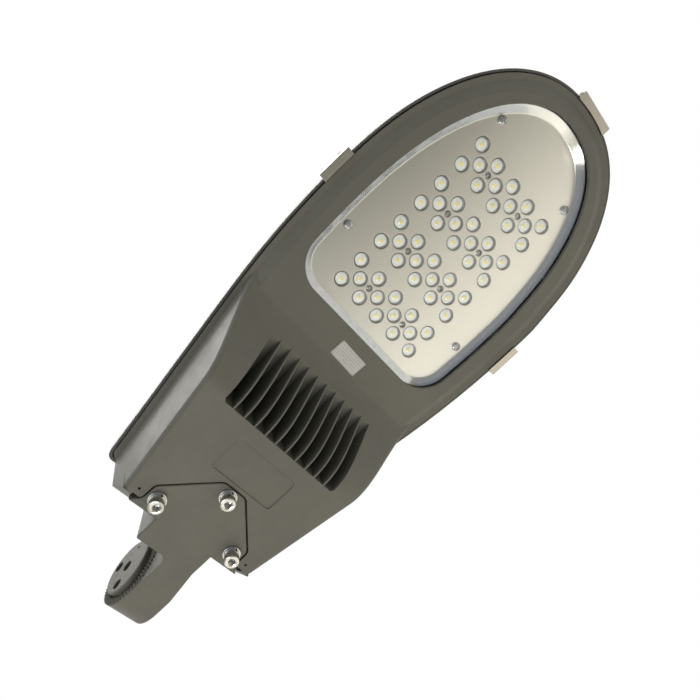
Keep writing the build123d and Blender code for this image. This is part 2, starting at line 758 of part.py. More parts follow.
def hinge_circlips():
    """A spring clip on each end of the hinge pin."""
    clips = []
    for side in BOTH_SIDES:
        inner = side * (HINGE_LUG_HALF + SLIP + HINGE_EAR_W)
        outer = inner + side * CIRCLIP_T
        y = (min(inner, outer), max(inner, outer))
        ring = cross_rod(CIRCLIP_R, *y, x=HINGE_X, z=HINGE_Z)
        ring = ring - cross_rod(HINGE_PIN_R + THREAD_GAP, *y, x=HINGE_X, z=HINGE_Z)
        slot = block(
            (HINGE_X - CIRCLIP_R, HINGE_X), (-REACH, REACH), (HINGE_Z - 1, HINGE_Z + 1)
        )
        clips.append(ring - slot)
    return join(clips)


# ---------------------------------------------------------------- toggle clips
def toggle_clip(place, length):
    """A bent sheet clip: eye, neck, broad plate and a lip that covers the seam."""
    outer = CLIP_STANDOFF + CLIP_EYE_R
    inner = outer - CLIP_T
    lip_z = PARTING_Z - CLIP_LIP_DROP
    neck_z = CLIP_PIVOT_Z - CLIP_NECK_H
    plate = block((inner, outer), (-length / 2, length / 2), (lip_z, neck_z))
    corners = plate.edges().filter_by(Axis.X).group_by(Axis.Z)[-1]
    plate = fillet(corners, 2 * CLIP_T)
    neck = block((inner, outer), (-CLIP_EYE_HALF, CLIP_EYE_HALF), (neck_z - 1, CLIP_PIVOT_Z))
    eye = cross_rod(CLIP_EYE_R, -CLIP_EYE_HALF, CLIP_EYE_HALF, CLIP_STANDOFF, CLIP_PIVOT_Z)
    hole = cross_rod(CLIP_PIN_R + PIN_GAP, -length, length, CLIP_STANDOFF, CLIP_PIVOT_Z)
    lip = block((-length / 4, outer), (-length / 2, length / 2), (lip_z, lip_z + CLIP_T))
    sheet = plate + neck + eye + lip
    bend = sheet.edges().filter_by(Axis.Y).group_by(Axis.Z)[0].sort_by(Axis.X)[-1]
    sheet = fillet(bend, CLIP_BEND_R)
    clip = place * (sheet - hole)
    return clip - slab(RIM.face(FLANGE_INSET - SLIP, lip_z - 1), CLIP_T + 2)


def clip_pin(place):
    half = CLIP_EYE_HALF + SLIP + CLIP_LUG_W + 1
    return place * cross_rod(CLIP_PIN_R, -half, half, CLIP_STANDOFF, CLIP_PIVOT_Z)


# ---------------------------------------------------------------- window
def window_glass():
    return slab(WINDOW.face(-GLASS_LAP, GLASS_Z), GLASS_T)


def glass_gasket():
    return band(WINDOW, -GLASS_LAP, -GLASS_GASKET_LAP, TRAY_FLOOR_Z, GLASS_GASKET_T)


def glass_clips():
    """Small plates screwed to bosses, each with its tongue over the glass."""
    length, width, thick = GLASS_CLIP_SIZE
    clips = []
    for x, y in glass_clip_spots():
        lean = degrees(WINDOW.lean(x))
        side = 1 if y > 0 else -1
        plate = Pos(0, -side * (width / 2 - 3), GLASS_TOP_Z + thick / 2) * Box(length, width, thick)
        hole = rod(M3_R + THREAD_GAP, GLASS_TOP_Z, GLASS_TOP_Z + thick)
        clips.append(Pos(x, y, 0) * Rot(0, 0, side * lean) * (plate - hole))
    return join(clips)


def pan_screw(radius, head_r, head_h, length):
    """A pan head screw, seat at the origin, pointing down, with a cross recess."""
    head = rod(head_r, 0, head_h)
    head = fillet(head.edges().group_by(Axis.Z)[-1], head_h * 0.45)
    arm = head_r * 0.5
    cross = block((-arm, arm), (-arm / 5, arm / 5), (head_h * 0.45, head_h))
    cross = cross + Rot(0, 0, 90) * cross
    return head + rod(radius, -length, 0) - cross


def screw_set(spots, z, radius, head_r, head_h, length, down=True):
    """Identical screws at several places; down=False turns the heads to face down."""
    turn = Rot(0, 0, 0) if down else Rot(180, 0, 0)
    screw = pan_screw(radius, head_r, head_h, length)
    return join([Pos(x, y, z) * turn * screw for x, y in spots])


def glass_clip_screws():
    z = GLASS_TOP_Z + GLASS_CLIP_SIZE[2]
    return screw_set(glass_clip_spots(), z, M3_R, M3_HEAD_R, M3_HEAD_H, GLASS_SCREW_L)


# ---------------------------------------------------------------- light unit
def reflector_panel():
    """A thin bright tray: flat panel with holes and a sloping rim that reaches the glass."""
    low = GLASS_TOP_Z + REFLECTOR_GLASS_GAP
    top = PANEL_TOP_Z
    outer = loft([WINDOW.face(-SKIRT_FLARE, low), WINDOW.face(PANEL_INSET, top)], ruled=True)
    inner = loft(
        [WINDOW.face(PANEL_T - SKIRT_FLARE, low), WINDOW.face(PANEL_INSET + PANEL_T, PANEL_Z)],
        ruled=True,
    )
    holes = []
    for module in range(MODULE_COUNT):
        holes += [rod(LENS_R + PANEL_LENS_GAP, low, top, x, y) for x, y in led_spots(module)]
        holes += [rod(M3_HEAD_R + SLIP, low, top, x, y) for x, y in board_screw_spots(module)]
    holes += [rod(M4_R + THREAD_GAP, low, top, x, y) for x, y in panel_screw_spots()]
    return outer - inner - holes


def panel_screws():
    size = (M4_R, M4_HEAD_R, M4_HEAD_H, PANEL_SCREW_L)
    return screw_set(panel_screw_spots(), PANEL_Z, *size, down=False)


def led_board(module):
    board = Pos(module_x(module), 0, BOARD_Z) * RectangleRounded(*BOARD_SIZE, BOARD_CORNER_R)
    top = BOARD_Z + BOARD_T
    spots = board_screw_spots(module)
    return slab(board, BOARD_T) - [rod(M3_R + THREAD_GAP, BOARD_Z, top, x, y) for x, y in spots]


def led_chips(module):
    z = BOARD_Z - CHIP_T / 2
    return join([Pos(x, y, z) * Box(CHIP_SIDE, CHIP_SIDE, CHIP_T) for x, y in led_spots(module)])


def lens():
    """A moulded lens hanging from the board: short barrel, dome and a pocket for the chip."""
    height = LENS_BARREL_H + LENS_DOME_H
    ball_r = (LENS_R**2 + LENS_DOME_H**2) / (2 * LENS_DOME_H)
    arc_mid = sqrt(ball_r**2 - (LENS_R / 2) ** 2) - (ball_r - LENS_DOME_H)
    outline = [
        Line((0, 0), (LENS_R, 0)),
        Line((LENS_R, 0), (LENS_R, -LENS_BARREL_H)),
        ThreePointArc(
            (LENS_R, -LENS_BARREL_H), (LENS_R / 2, -LENS_BARREL_H - arc_mid), (0, -height)
        ),
        Line((0, -height), (0, 0)),
    ]
    body = revolve(Plane.XZ * Face(Wire(outline)), Axis.Z)
    return body - rod(LENS_POCKET_R, -LENS_POCKET_H, 0)


def lens_set(module):
    shape = lens()
    return join([Pos(x, y, BOARD_Z) * shape for x, y in led_spots(module)])


def board_screws():
    spots = [spot for module in range(MODULE_COUNT) for spot in board_screw_spots(module)]
    size = (M3_R, M3_HEAD_R, M3_HEAD_H, BOARD_SCREW_L)
    return screw_set(spots, BOARD_Z, *size, down=False)


def heat_sink():
    """Base plate with ears, posts for the panel and a row of upright fins."""
    base = slab(WINDOW.face(-SINK_OVERHANG, SINK_Z), SINK_BASE_T)
    base = base + [rod(SINK_EAR_R, SINK_Z, SINK_TOP_Z, x, y) for x, y in sink_post_spots()]
    panel_spots = panel_screw_spots()
    base = base + [rod(M4_HEAD_R, PANEL_TOP_Z, SINK_TOP_Z, x, y) for x, y in panel_spots]
    fins = []
    first = -(SINK_FIN_COUNT - 1) / 2 * SINK_FIN_PITCH
    for i in range(SINK_FIN_COUNT):
        middle = first + i * SINK_FIN_PITCH
        y = (middle - SINK_FIN_T / 2, middle + SINK_FIN_T / 2)
        fins.append(block((RIM_REAR_X, RIM_TIP_X), y, (SINK_Z, SINK_TOP_Z + SINK_FIN_H)))
    keep = slab(WINDOW.face(PANEL_INSET, SINK_Z), REACH)
    base = base + [fin & keep for fin in fins]
    base = base - [rod(M5_R + THREAD_GAP, SINK_Z, SINK_TOP_Z, x, y) for x, y in sink_post_spots()]
    post_hole = (M4_R + THREAD_GAP, PANEL_TOP_Z, PANEL_TOP_Z + PANEL_SCREW_L)
    base = base - [rod(*post_hole, x, y) for x, y in panel_spots]
    tapped = [spot for module in range(MODULE_COUNT) for spot in board_screw_spots(module)]
    return base - [rod(M3_R + THREAD_GAP, SINK_Z, SINK_TOP_Z, x, y) for x, y in tapped]


def heat_sink_screws():
    return screw_set(sink_post_spots(), SINK_TOP_Z, M5_R, M5_HEAD_R, M5_HEAD_H, SINK_SCREW_L)


# ---------------------------------------------------------------- mounting arm
def arm_side_view():
    """Side view of the arm: round knuckle, level underside and a top that dips for the hinge."""
    front_low = PLATE_REAR_X
    front_high = RIM_REAR_X + WALL_INSET - PLATE_GAP
    body = upright([
        (0, BOX_Z), (front_low, BOX_Z), (front_low, PLATE_SEAT_Z),
        (front_low - ARM_LEAN, PLATE_SEAT_Z), (front_high, ARM_TOP_Z),
        (ARM_TOP_X, ARM_TOP_Z), (0, KNUCKLE_R),
    ])
    return side_wall(body) + cross_rod(KNUCKLE_R, -REACH, REACH)


def arm_plan():
    """Plan of the arm: full width at the plate, half width at the knuckle."""
    low = -2 * KNUCKLE_R
    points = [
        (PLATE_REAR_X, -ARM_HALF), (ARM_SHOULDER_X, -ARM_HALF), (ARM_SHOULDER_X, TOOTH_H),
        (low, TOOTH_H), (low, KNUCKLE_BACK_Y), (KNUCKLE_R / 2, KNUCKLE_BACK_Y),
        (ARM_SHOULDER_X, ARM_HALF), (PLATE_REAR_X, ARM_HALF),
    ]
    outline = make_face(Polyline(*points, close=True))
    corner = outline.vertices().sort_by_distance((ARM_SHOULDER_X, TOOTH_H, 0))[0]
    face = Pos(0, 0, -REACH / 2) * fillet(corner, ARM_SHOULDER_R)
    return slab(face, REACH)


def knuckle_teeth():
    """Radial ridges with their crests in the joint plane."""
    low = KNUCKLE_R - TOOTH_RING_W
    ring = cross_rod(KNUCKLE_R, -TOOTH_H, 2 * TOOTH_H) - cross_rod(low, -TOOTH_H, 2 * TOOTH_H)
    ridge = make_face(Polyline(
        (-TOOTH_W / 2, TOOTH_H + 1), (-TOOTH_W / 2, TOOTH_H), (0, 0),
        (TOOTH_W / 2, TOOTH_H), (TOOTH_W / 2, TOOTH_H + 1), close=True,
    ))
    tooth = Pos(0, 0, low - 1) * slab(ridge, TOOTH_RING_W + 2)
    turns = [i * 360 / TOOTH_COUNT for i in range(TOOTH_COUNT)]
    return [Rot(0, turn, 0) * tooth & ring for turn in turns]


def orbit(radius, angle):
    return radius * cos(radians(angle)), radius * sin(radians(angle))


def arm_outer_edges(body):
    """The arm's edges to round: those of its two outer walls."""
    middle_x = (ARM_SHOULDER_X + PLATE_REAR_X) / 2
    edges = []
    for edge in body.edges():
        centre = edge.center()
        on_wall = abs(centre.Y) > ARM_HALF - THREAD_GAP and edge.bounding_box().min.Z < 0
        if on_wall and centre.X < middle_x + THREAD_GAP:
            edges.append(edge)
    return edges


def arm_plate():
    plate = Pos(0, 0, BOX_Z) * slab(plate_face(0), PLATE_T)
    low_edges = plate.edges().group_by(Axis.Z)[0]
    return fillet(low_edges.filter_by(lambda e: e.center().X > PLATE_REAR_X + 1), PLATE_EDGE_R)


def mounting_arm():
    body = arm_side_view() & arm_plan()
    body = fillet(arm_outer_edges(body), ARM_EDGE_R)
    plate = arm_plate()
    body = body + plate + knuckle_teeth()
    groove_bottom = TOOTH_H + GROOVE_DEPTH
    groove = cross_rod(SPIGOT_R + GROOVE_W, -TOOTH_H, groove_bottom)
    spigot = cross_rod(SPIGOT_R, -SPIGOT_H, groove_bottom)
    spigot = chamfer(spigot.edges().group_by(Axis.Y)[0], SPIGOT_CHAMFER)
    body = body - groove + spigot
    trough_z = (PLATE_SEAT_Z, KNUCKLE_R)
    wall_y = ARM_HALF - ARM_WALL
    web_y = TOOTH_H + ARM_WEB
    trough = block((ARM_CAVITY_X, PLATE_REAR_X + 1), (web_y, wall_y), trough_z)
    shoulder_x = ARM_SHOULDER_X + ARM_WALL
    trough = trough + block((shoulder_x, PLATE_REAR_X + 1), (-wall_y, wall_y), trough_z)
    bores = [cross_rod(PIVOT_BORE_R, -REACH, REACH)]
    nut = Pos(0, KNUCKLE_BACK_Y, 0) * Rot(90, 0, 0) * hexagon(NUT_FLATS, 2 * NUT_DEPTH)
    for angle in LOCK_HOLE_DEG:
        x, z = orbit(LOCK_HOLE_ORBIT, angle)
        bores.append(cross_rod(LOCK_HOLE_R, -REACH, REACH, x, z))
    x, z = orbit(INDEX_HOLE_ORBIT, INDEX_HOLE_DEG)
    bores.append(cross_rod(INDEX_HOLE_R, -SPIGOT_H, INDEX_HOLE_DEPTH, x, z))
    hole_r = M8_R + M8_CLEARANCE
    bores += [rod(hole_r, BOX_Z - 1, PLATE_SEAT_Z + 1, x, y) for x, y in ARM_BOLT_SPOTS]
    return body - trough - nut - bores


def arm_bolts():
    """Socket head bolts that hold the arm, heads down."""
    bolts = []
    for x, y in ARM_BOLT_SPOTS:
        head_z = BOLT_SEAT_Z - M8_HEAD_H
        head = rod(M8_HEAD_R, head_z, BOLT_SEAT_Z)
        head = chamfer(head.edges().group_by(Axis.Z)[0], M8_HEAD_CHAMFER)
        shank = rod(M8_R, BOLT_SEAT_Z, PLATE_SEAT_Z + M8_THREAD_IN_BOSS)
        socket = Pos(0, 0, head_z) * hexagon(M8_SOCKET_FLATS, 2 * M8_SOCKET_DEPTH)
        bolts.append(Pos(x, y, 0) * (head + shank - socket))
    return join(bolts)


def ring_set(outer, z, height, split):
    """Washers under the bolt heads; with a split given, spring washers."""
    rings = []
    for x, y in ARM_BOLT_SPOTS:
        ring = rod(outer, z, z + height) - rod(M8_R + THREAD_GAP * 2, z, z + height)
        if split:
            ring = ring - block((0, outer + 1), (-split / 2, split / 2), (z, z + height))
        rings.append(Pos(x, y, 0) * ring)
    return join(rings)


# ---------------------------------------------------------------- driver box contents
def cable_gland():
    """Gland body: thread through the wall, hexagon and rounded cap nut with the cable bore."""
    face_x = GLAND_PAD_X[0] - GLAND_SEAL_T
    cap_x = face_x - GLAND_HEX_T
    inner_x = GLAND_PAD_X[1] + LOCKNUT_T + 1
    thread = long_rod(GLAND_THREAD_R, face_x, inner_x)
    flange = Pos(face_x - GLAND_HEX_T / 2, 0, 0) * HEX_TURN * hexagon(GLAND_HEX_FLATS, GLAND_HEX_T)
    cap = long_rod(GLAND_CAP_R, cap_x - GLAND_CAP_H, cap_x)
    cap = fillet(cap.edges().group_by(Axis.X)[0], GLAND_CAP_R / 3)
    bore = long_rod(GLAND_BORE_R, cap_x - GLAND_CAP_H, inner_x)
    return Pos(0, GLAND_Y, GLAND_Z) * (thread + flange + cap - bore)


def gland_locknut():
    """A hexagonal nut on the gland's thread, inside the housing."""
    start, end = GLAND_PAD_X[1], GLAND_PAD_X[1] + LOCKNUT_T
    nut = Pos((start + end) / 2, 0, 0) * HEX_TURN * hexagon(GLAND_HEX_FLATS, LOCKNUT_T)
    return Pos(0, GLAND_Y, GLAND_Z) * (nut - long_rod(GLAND_THREAD_R + THREAD_GAP, start, end))


def gland_seal():
    start, end = GLAND_PAD_X[0] - GLAND_SEAL_T, GLAND_PAD_X[0]
    ring = long_rod(GLAND_HEX_FLATS / 2, start, end)
    ring = ring - long_rod(GLAND_THREAD_R + THREAD_GAP, start, end)
    return Pos(0, GLAND_Y, GLAND_Z) * ring


def led_driver():
    """Potted power supply with a mounting ear at each end."""
    z = (BOX_FLOOR_Z, BOX_FLOOR_Z + DRIVER_H)
    body = block(DRIVER_X, (-DRIVER_HALF, DRIVER_HALF), z)
    body = fillet(body.edges().filter_by(Axis.Y).group_by(Axis.Z)[-1], DRIVER_EDGE_R)
    reach = DRIVER_HALF + DRIVER_EAR_LENGTH
    ear_x = (DRIVER_MID_X - DRIVER_EAR_W / 2, DRIVER_MID_X + DRIVER_EAR_W / 2)
    ear_z = (DRIVER_EAR_TOP - DRIVER_EAR_T, DRIVER_EAR_TOP)
    body = body + block(ear_x, (-reach, reach), ear_z)
    holes = [
        rod(M4_R + THREAD_GAP, *ear_z, DRIVER_MID_X, side * DRIVER_POST_Y) for side in BOTH_SIDES
    ]
    return body - holes


def driver_screws():
    spots = [(DRIVER_MID_X, side * DRIVER_POST_Y) for side in BOTH_SIDES]
    size = (M4_R, DRIVER_SCREW_HEAD_R, M4_HEAD_H, DRIVER_SCREW_L)
    return screw_set(spots, DRIVER_EAR_TOP, *size)


def terminal_spots():
    pitch = (TERMINAL_X[1] - TERMINAL_X[0]) / TERMINAL_POLES
    y = (TERMINAL_Y[0] + TERMINAL_Y[1]) / 2
    return [(TERMINAL_X[0] + pitch * (i + 0.5), y) for i in range(TERMINAL_POLES)]


def terminal_block():
    """Three-pole block with a screw well and wire mouths for each pole."""
    top = BOX_FLOOR_Z + TERMINAL_H
    body = block(TERMINAL_X, TERMINAL_Y, (BOX_FLOOR_Z, top))
    body = chamfer(body.edges().filter_by(Axis.X).group_by(Axis.Z)[-1], CASE_EDGE)
    well_z = (top - TERMINAL_WELL_DEPTH, top)
    wells = [rod(TERMINAL_WELL_R, *well_z, x, y) for x, y in terminal_spots()]
    mouth_z = BOX_FLOOR_Z + TERMINAL_MOUTH_Z
    mouths = [
        cross_rod(TERMINAL_MOUTH_R, *TERMINAL_Y, x, mouth_z) for x, _ in terminal_spots()
    ]
    return body - wells - mouths


def terminal_screws():
    z = BOX_FLOOR_Z + TERMINAL_H - TERMINAL_WELL_DEPTH
    top = z + TERMINAL_SCREW_H
    length, width, depth = TERMINAL_SLOT
    screws = []
    for x, y in terminal_spots():
        head = rod(TERMINAL_SCREW_R, z, top)
        slot = block((-length / 2, length / 2), (-width / 2, width / 2), (top - depth, top))
        screws.append(Pos(x, y, 0) * (head - slot))
    return join(screws)


def surge_protector():
    body = block(SURGE_X, SURGE_Y, (BOX_FLOOR_Z, BOX_FLOOR_Z + SURGE_H))
    return fillet(body.edges().filter_by(Axis.X).group_by(Axis.Z)[-1], CASE_EDGE)


def earth_screw():
    size = (M5_R, M5_HEAD_R, M5_HEAD_H, EARTH_SCREW_L)
    return screw_set([EARTH_SPOT], EARTH_TOP_Z, *size)


def rating_label():
    """A blank label on the frame behind the window."""
    sheet = Rot(0, 0, LABEL_TILT) * Rectangle(*LABEL_SIZE)
    return Pos(*LABEL_SPOT, FRAME_Z - LABEL_T) * slab(sheet, LABEL_T)


def build():
    os.makedirs("parts", exist_ok=True)
    save("lower_housing", lower_housing())
    save("cover", cover())
    save("cover_gasket", cover_gasket())
    save("hinge_pin", hinge_pin())
    save("hinge_circlips", hinge_circlips())
    for name, place, length in clip_placings():
        save("toggle_clip_" + name, toggle_clip(place, length))
        save("clip_pin_" + name, clip_pin(place))
    save("window_glass", window_glass())
    save("glass_gasket", glass_gasket())
    save("glass_clips", glass_clips())
    save("glass_clip_screws", glass_clip_screws())
    save("reflector_panel", reflector_panel())
    save("panel_screws", panel_screws())
    for module in range(MODULE_COUNT):
        number = str(module + 1)
        save("led_board_" + number, led_board(module))
        save("led_chips_" + number, led_chips(module))
        save("lens_set_" + number, lens_set(module))
    save("board_screws", board_screws())
    save("heat_sink", heat_sink())
    save("heat_sink_screws", heat_sink_screws())
    save("mounting_arm", mounting_arm())
    save("arm_bolts", arm_bolts())
    flat_z = BOX_Z - FLAT_WASHER_T
    save("arm_flat_washers", ring_set(FLAT_WASHER_R, flat_z, FLAT_WASHER_T, 0.0))
    spring_z = flat_z - SPRING_WASHER_T
    split = SPRING_WASHER_SPLIT
    save("arm_spring_washers", ring_set(SPRING_WASHER_R, spring_z, SPRING_WASHER_T, split))
    save("cable_gland", cable_gland())
    save("gland_seal", gland_seal())
    save("gland_locknut", gland_locknut())
    save("led_driver", led_driver())
    save("driver_screws", driver_screws())
    save("terminal_block", terminal_block())
    save("terminal_screws", terminal_screws())
    save("surge_protector", surge_protector())
    save("earth_screw", earth_screw())
    save("rating_label", rating_label())


build()
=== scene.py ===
"""Looks of a street lamp head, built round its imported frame."""

import json
import logging
from collections.abc import Callable
from dataclasses import dataclass, field
from enum import Enum
from math import cos, pi, radians, tau

import bmesh
import bpy
from mathutils import Matrix, Vector

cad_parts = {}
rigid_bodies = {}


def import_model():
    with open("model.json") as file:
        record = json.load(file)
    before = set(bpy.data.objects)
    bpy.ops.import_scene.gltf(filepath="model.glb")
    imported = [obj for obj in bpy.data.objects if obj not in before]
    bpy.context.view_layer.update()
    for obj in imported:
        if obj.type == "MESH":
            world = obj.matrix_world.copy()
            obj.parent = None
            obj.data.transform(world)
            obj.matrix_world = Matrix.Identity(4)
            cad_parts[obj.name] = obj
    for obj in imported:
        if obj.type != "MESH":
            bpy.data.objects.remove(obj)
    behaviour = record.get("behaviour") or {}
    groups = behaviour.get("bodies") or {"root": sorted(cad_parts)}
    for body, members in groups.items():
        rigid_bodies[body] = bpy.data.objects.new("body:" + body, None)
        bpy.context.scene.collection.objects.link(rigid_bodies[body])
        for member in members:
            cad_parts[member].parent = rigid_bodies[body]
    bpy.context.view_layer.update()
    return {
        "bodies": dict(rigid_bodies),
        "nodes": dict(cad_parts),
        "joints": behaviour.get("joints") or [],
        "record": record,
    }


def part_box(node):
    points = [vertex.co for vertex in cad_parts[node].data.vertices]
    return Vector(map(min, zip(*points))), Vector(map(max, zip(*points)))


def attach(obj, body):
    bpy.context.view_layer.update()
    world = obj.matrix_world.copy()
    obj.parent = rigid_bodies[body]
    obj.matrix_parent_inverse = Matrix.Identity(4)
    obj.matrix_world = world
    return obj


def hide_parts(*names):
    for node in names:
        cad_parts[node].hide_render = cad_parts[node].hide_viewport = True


LOG = logging.getLogger("street_lamp_head")
MM = 0.001
ORIGIN = (0.0, 0.0, 0.0)
UPRIGHT = (0.0, 0.0, 1.0)
MERGE_REACH = 0.001 * MM  # vertices closer than this are one
SPIN_MERGE_REACH = 0.002 * MM
ON_AXIS = 0.1 * MM  # a face whose middle is nearer than this is on the axis
FLAT_ANGLE = radians(0.6)  # faces that meet flatter than this are one
SHARP_ANGLE = radians(35)  # edges sharper than this are rounded

Colour = tuple[float, float, float]
Point = tuple[float, float, float]
Socket = bpy.types.NodeSocket
Tree = bpy.types.NodeTree
Material = bpy.types.Material
Mesh = bmesh.types.BMesh


class Body(Enum):
    """The bodies that pieces ride on."""

    HOUSING = "housing"
    COVER = "cover"
    CLIP_LEFT = "clip_left"
    CLIP_RIGHT = "clip_right"
    CLIP_TIP = "clip_tip"


class Slot(Enum):
    """The record's material slots of the new pieces' finishes; nothing reads them."""

    STAINLESS = "stainless_steel"
    ZINC = "zinc_screws"
    PHOSPHOR = "led_phosphor"
    BOARD = "white_board"
    LENS = "clear_lens"
    NYLON = "black_nylon"
    DRIVER = "driver_case"
    PLASTIC = "grey_plastic"


# ------------------------------------------------------------------ node trees
class NodeSheet:
    """A node tree written in short lines."""

    def __init__(self, tree: Tree) -> None:
        """Starts from a tree, emptied."""
        self.tree = tree
        tree.nodes.clear()

    def add(self, kind: str, inputs: dict | None = None, **settings: object) -> bpy.types.Node:
        """Adds a node.

        Args:
            kind: The node's type without its leading ShaderNode.
            inputs: Values or output sockets for its inputs, by name or number.
            settings: The node's own properties.

        Returns:
            The new node.
        """
        node = self.tree.nodes.new("ShaderNode" + kind)
        for name, value in settings.items():
            setattr(node, name, value)
        for name, value in (inputs or {}).items():
            self.feed(node.inputs[name], value)
        return node

    def feed(self, socket: Socket, value: object) -> None:
        """Sets a socket to a value, or links it to another socket.

        Args:
            socket: The input to fill.
            value: A number, a tuple, or an output socket.
        """
        if isinstance(value, Socket):
            self.tree.links.new(value, socket)
            return
        if isinstance(value, tuple) and len(value) == 3 and socket.type == "RGBA":
            value = (*value, 1.0)
        socket.default_value = value

    def show(self, shader: Socket, kind: str = "OutputMaterial") -> None:
        """Makes a shader the tree's result."""
        self.feed(self.add(kind).inputs["Surface"], shader)

    def place(self) -> Socket:
        """The surface's own coordinates, in metres."""
        return self.add("TexCoord").outputs["Object"]

    def maths(self, operation: str, *values: object, clamp: bool = False) -> Socket:
        """A Math node.

        Args:
            operation: Its operation, such as MULTIPLY.
            values: Numbers or sockets.
            clamp: Whether the result stays from 0 to 1.

        Returns:
            Its result.
        """
        node = self.add("Math", operation=operation, use_clamp=clamp)
        for socket, value in zip(node.inputs, values):
            self.feed(socket, value)
        return node.outputs[0]

    def between(self, value: object, low: float, high: float, start: float = 0.0,
                end: float = 1.0, smooth: bool = True) -> Socket:
        """Maps a value's range to another, held at both ends.

        Args:
            value: The value's socket.
            low: Value that gives start.
            high: Value that gives end.
            start: Result at low.
            end: Result at high.
            smooth: Whether the change eases in and out.

        Returns:
            The mapped value.
        """
        kind = "SMOOTHSTEP" if smooth else "LINEAR"
        node = self.add("MapRange", interpolation_type=kind, clamp=True)
        for name, number in zip(("From Min", "From Max", "To Min", "To Max"),
                                (low, high, start, end)):
            node.inputs[name].default_value = number
        self.feed(node.inputs["Value"], value)
        return node.outputs["Result"]

    def blend(self, share: object, first: object, second: object) -> Socket:
        """Mixes two colours.

        Args:
            share: How much of the second colour shows.
            first: A colour or a socket.
            second: A colour or a socket.

        Returns:
            The mixed colour.
        """
        node = self.add("Mix", data_type="RGBA")
        self.feed(node.inputs["Factor"], share)
        self.feed(node.inputs[6], first)
        self.feed(node.inputs[7], second)
        return node.outputs[2]

    def mix_numbers(self, share: object, first: object, second: object) -> Socket:
        """Mixes two numbers; the share is how much of the second counts."""
        node = self.add("Mix", {0: share, 2: first, 3: second}, data_type="FLOAT")
        return node.outputs[0]

    def noise(self, place: Socket, size: float, detail: float = 2.0,
              roughness: float = 0.5) -> Socket:
        """Noise from 0 to 1, with spots about one size (in metres) apart."""
        inputs = {"Vector": place, "Scale": 1 / size, "Detail": detail, "Roughness": roughness}
        return self.add("TexNoise", inputs).outputs["Fac"]

    def stretched(self, place: Socket, scale: Point) -> Socket:
        """Coordinates scaled along each axis."""
        return self.add("Mapping", {"Vector": place, "Scale": scale}).outputs["Vector"]

    def group(self, tree: Tree, place: Socket, **inputs: object) -> bpy.types.bpy_prop_collection:
        """Places a shared effect.

        Args:
            tree: The effect's group.
            place: Coordinates for its Vector input.
            inputs: Values or sockets for its other inputs.

        Returns:
            The group's outputs, by name.
        """
        return self.add("Group", {"Vector": place, **inputs}, node_tree=tree).outputs

    def bump(self, height: object, depth: float, strength: float = 1.0,
             normal: object = None) -> Socket:
        """A relief from a height.

        Args:
            height: The height's socket, from 0 to 1.
            depth: Depth of the relief in metres.
            strength: How strongly it shows.
            normal: A normal to start from.

        Returns:
            The bumped normal.
        """
        node = self.add("Bump", {"Height": height, "Distance": depth, "Strength": strength})
        if normal is not None:
            self.feed(node.inputs["Normal"], normal)
        return node.outputs["Normal"]


class Effect(Enum):
    """The effects that several finishes share."""

    GRAIN = "coat_grain"
    MOTTLE = "soft_mottle"
    RUBBED = "rubbed_edges"
    DUST = "settled_dust"
    BRUSHED = "brush_lines"
    SCUFFS = "fine_scuffs"


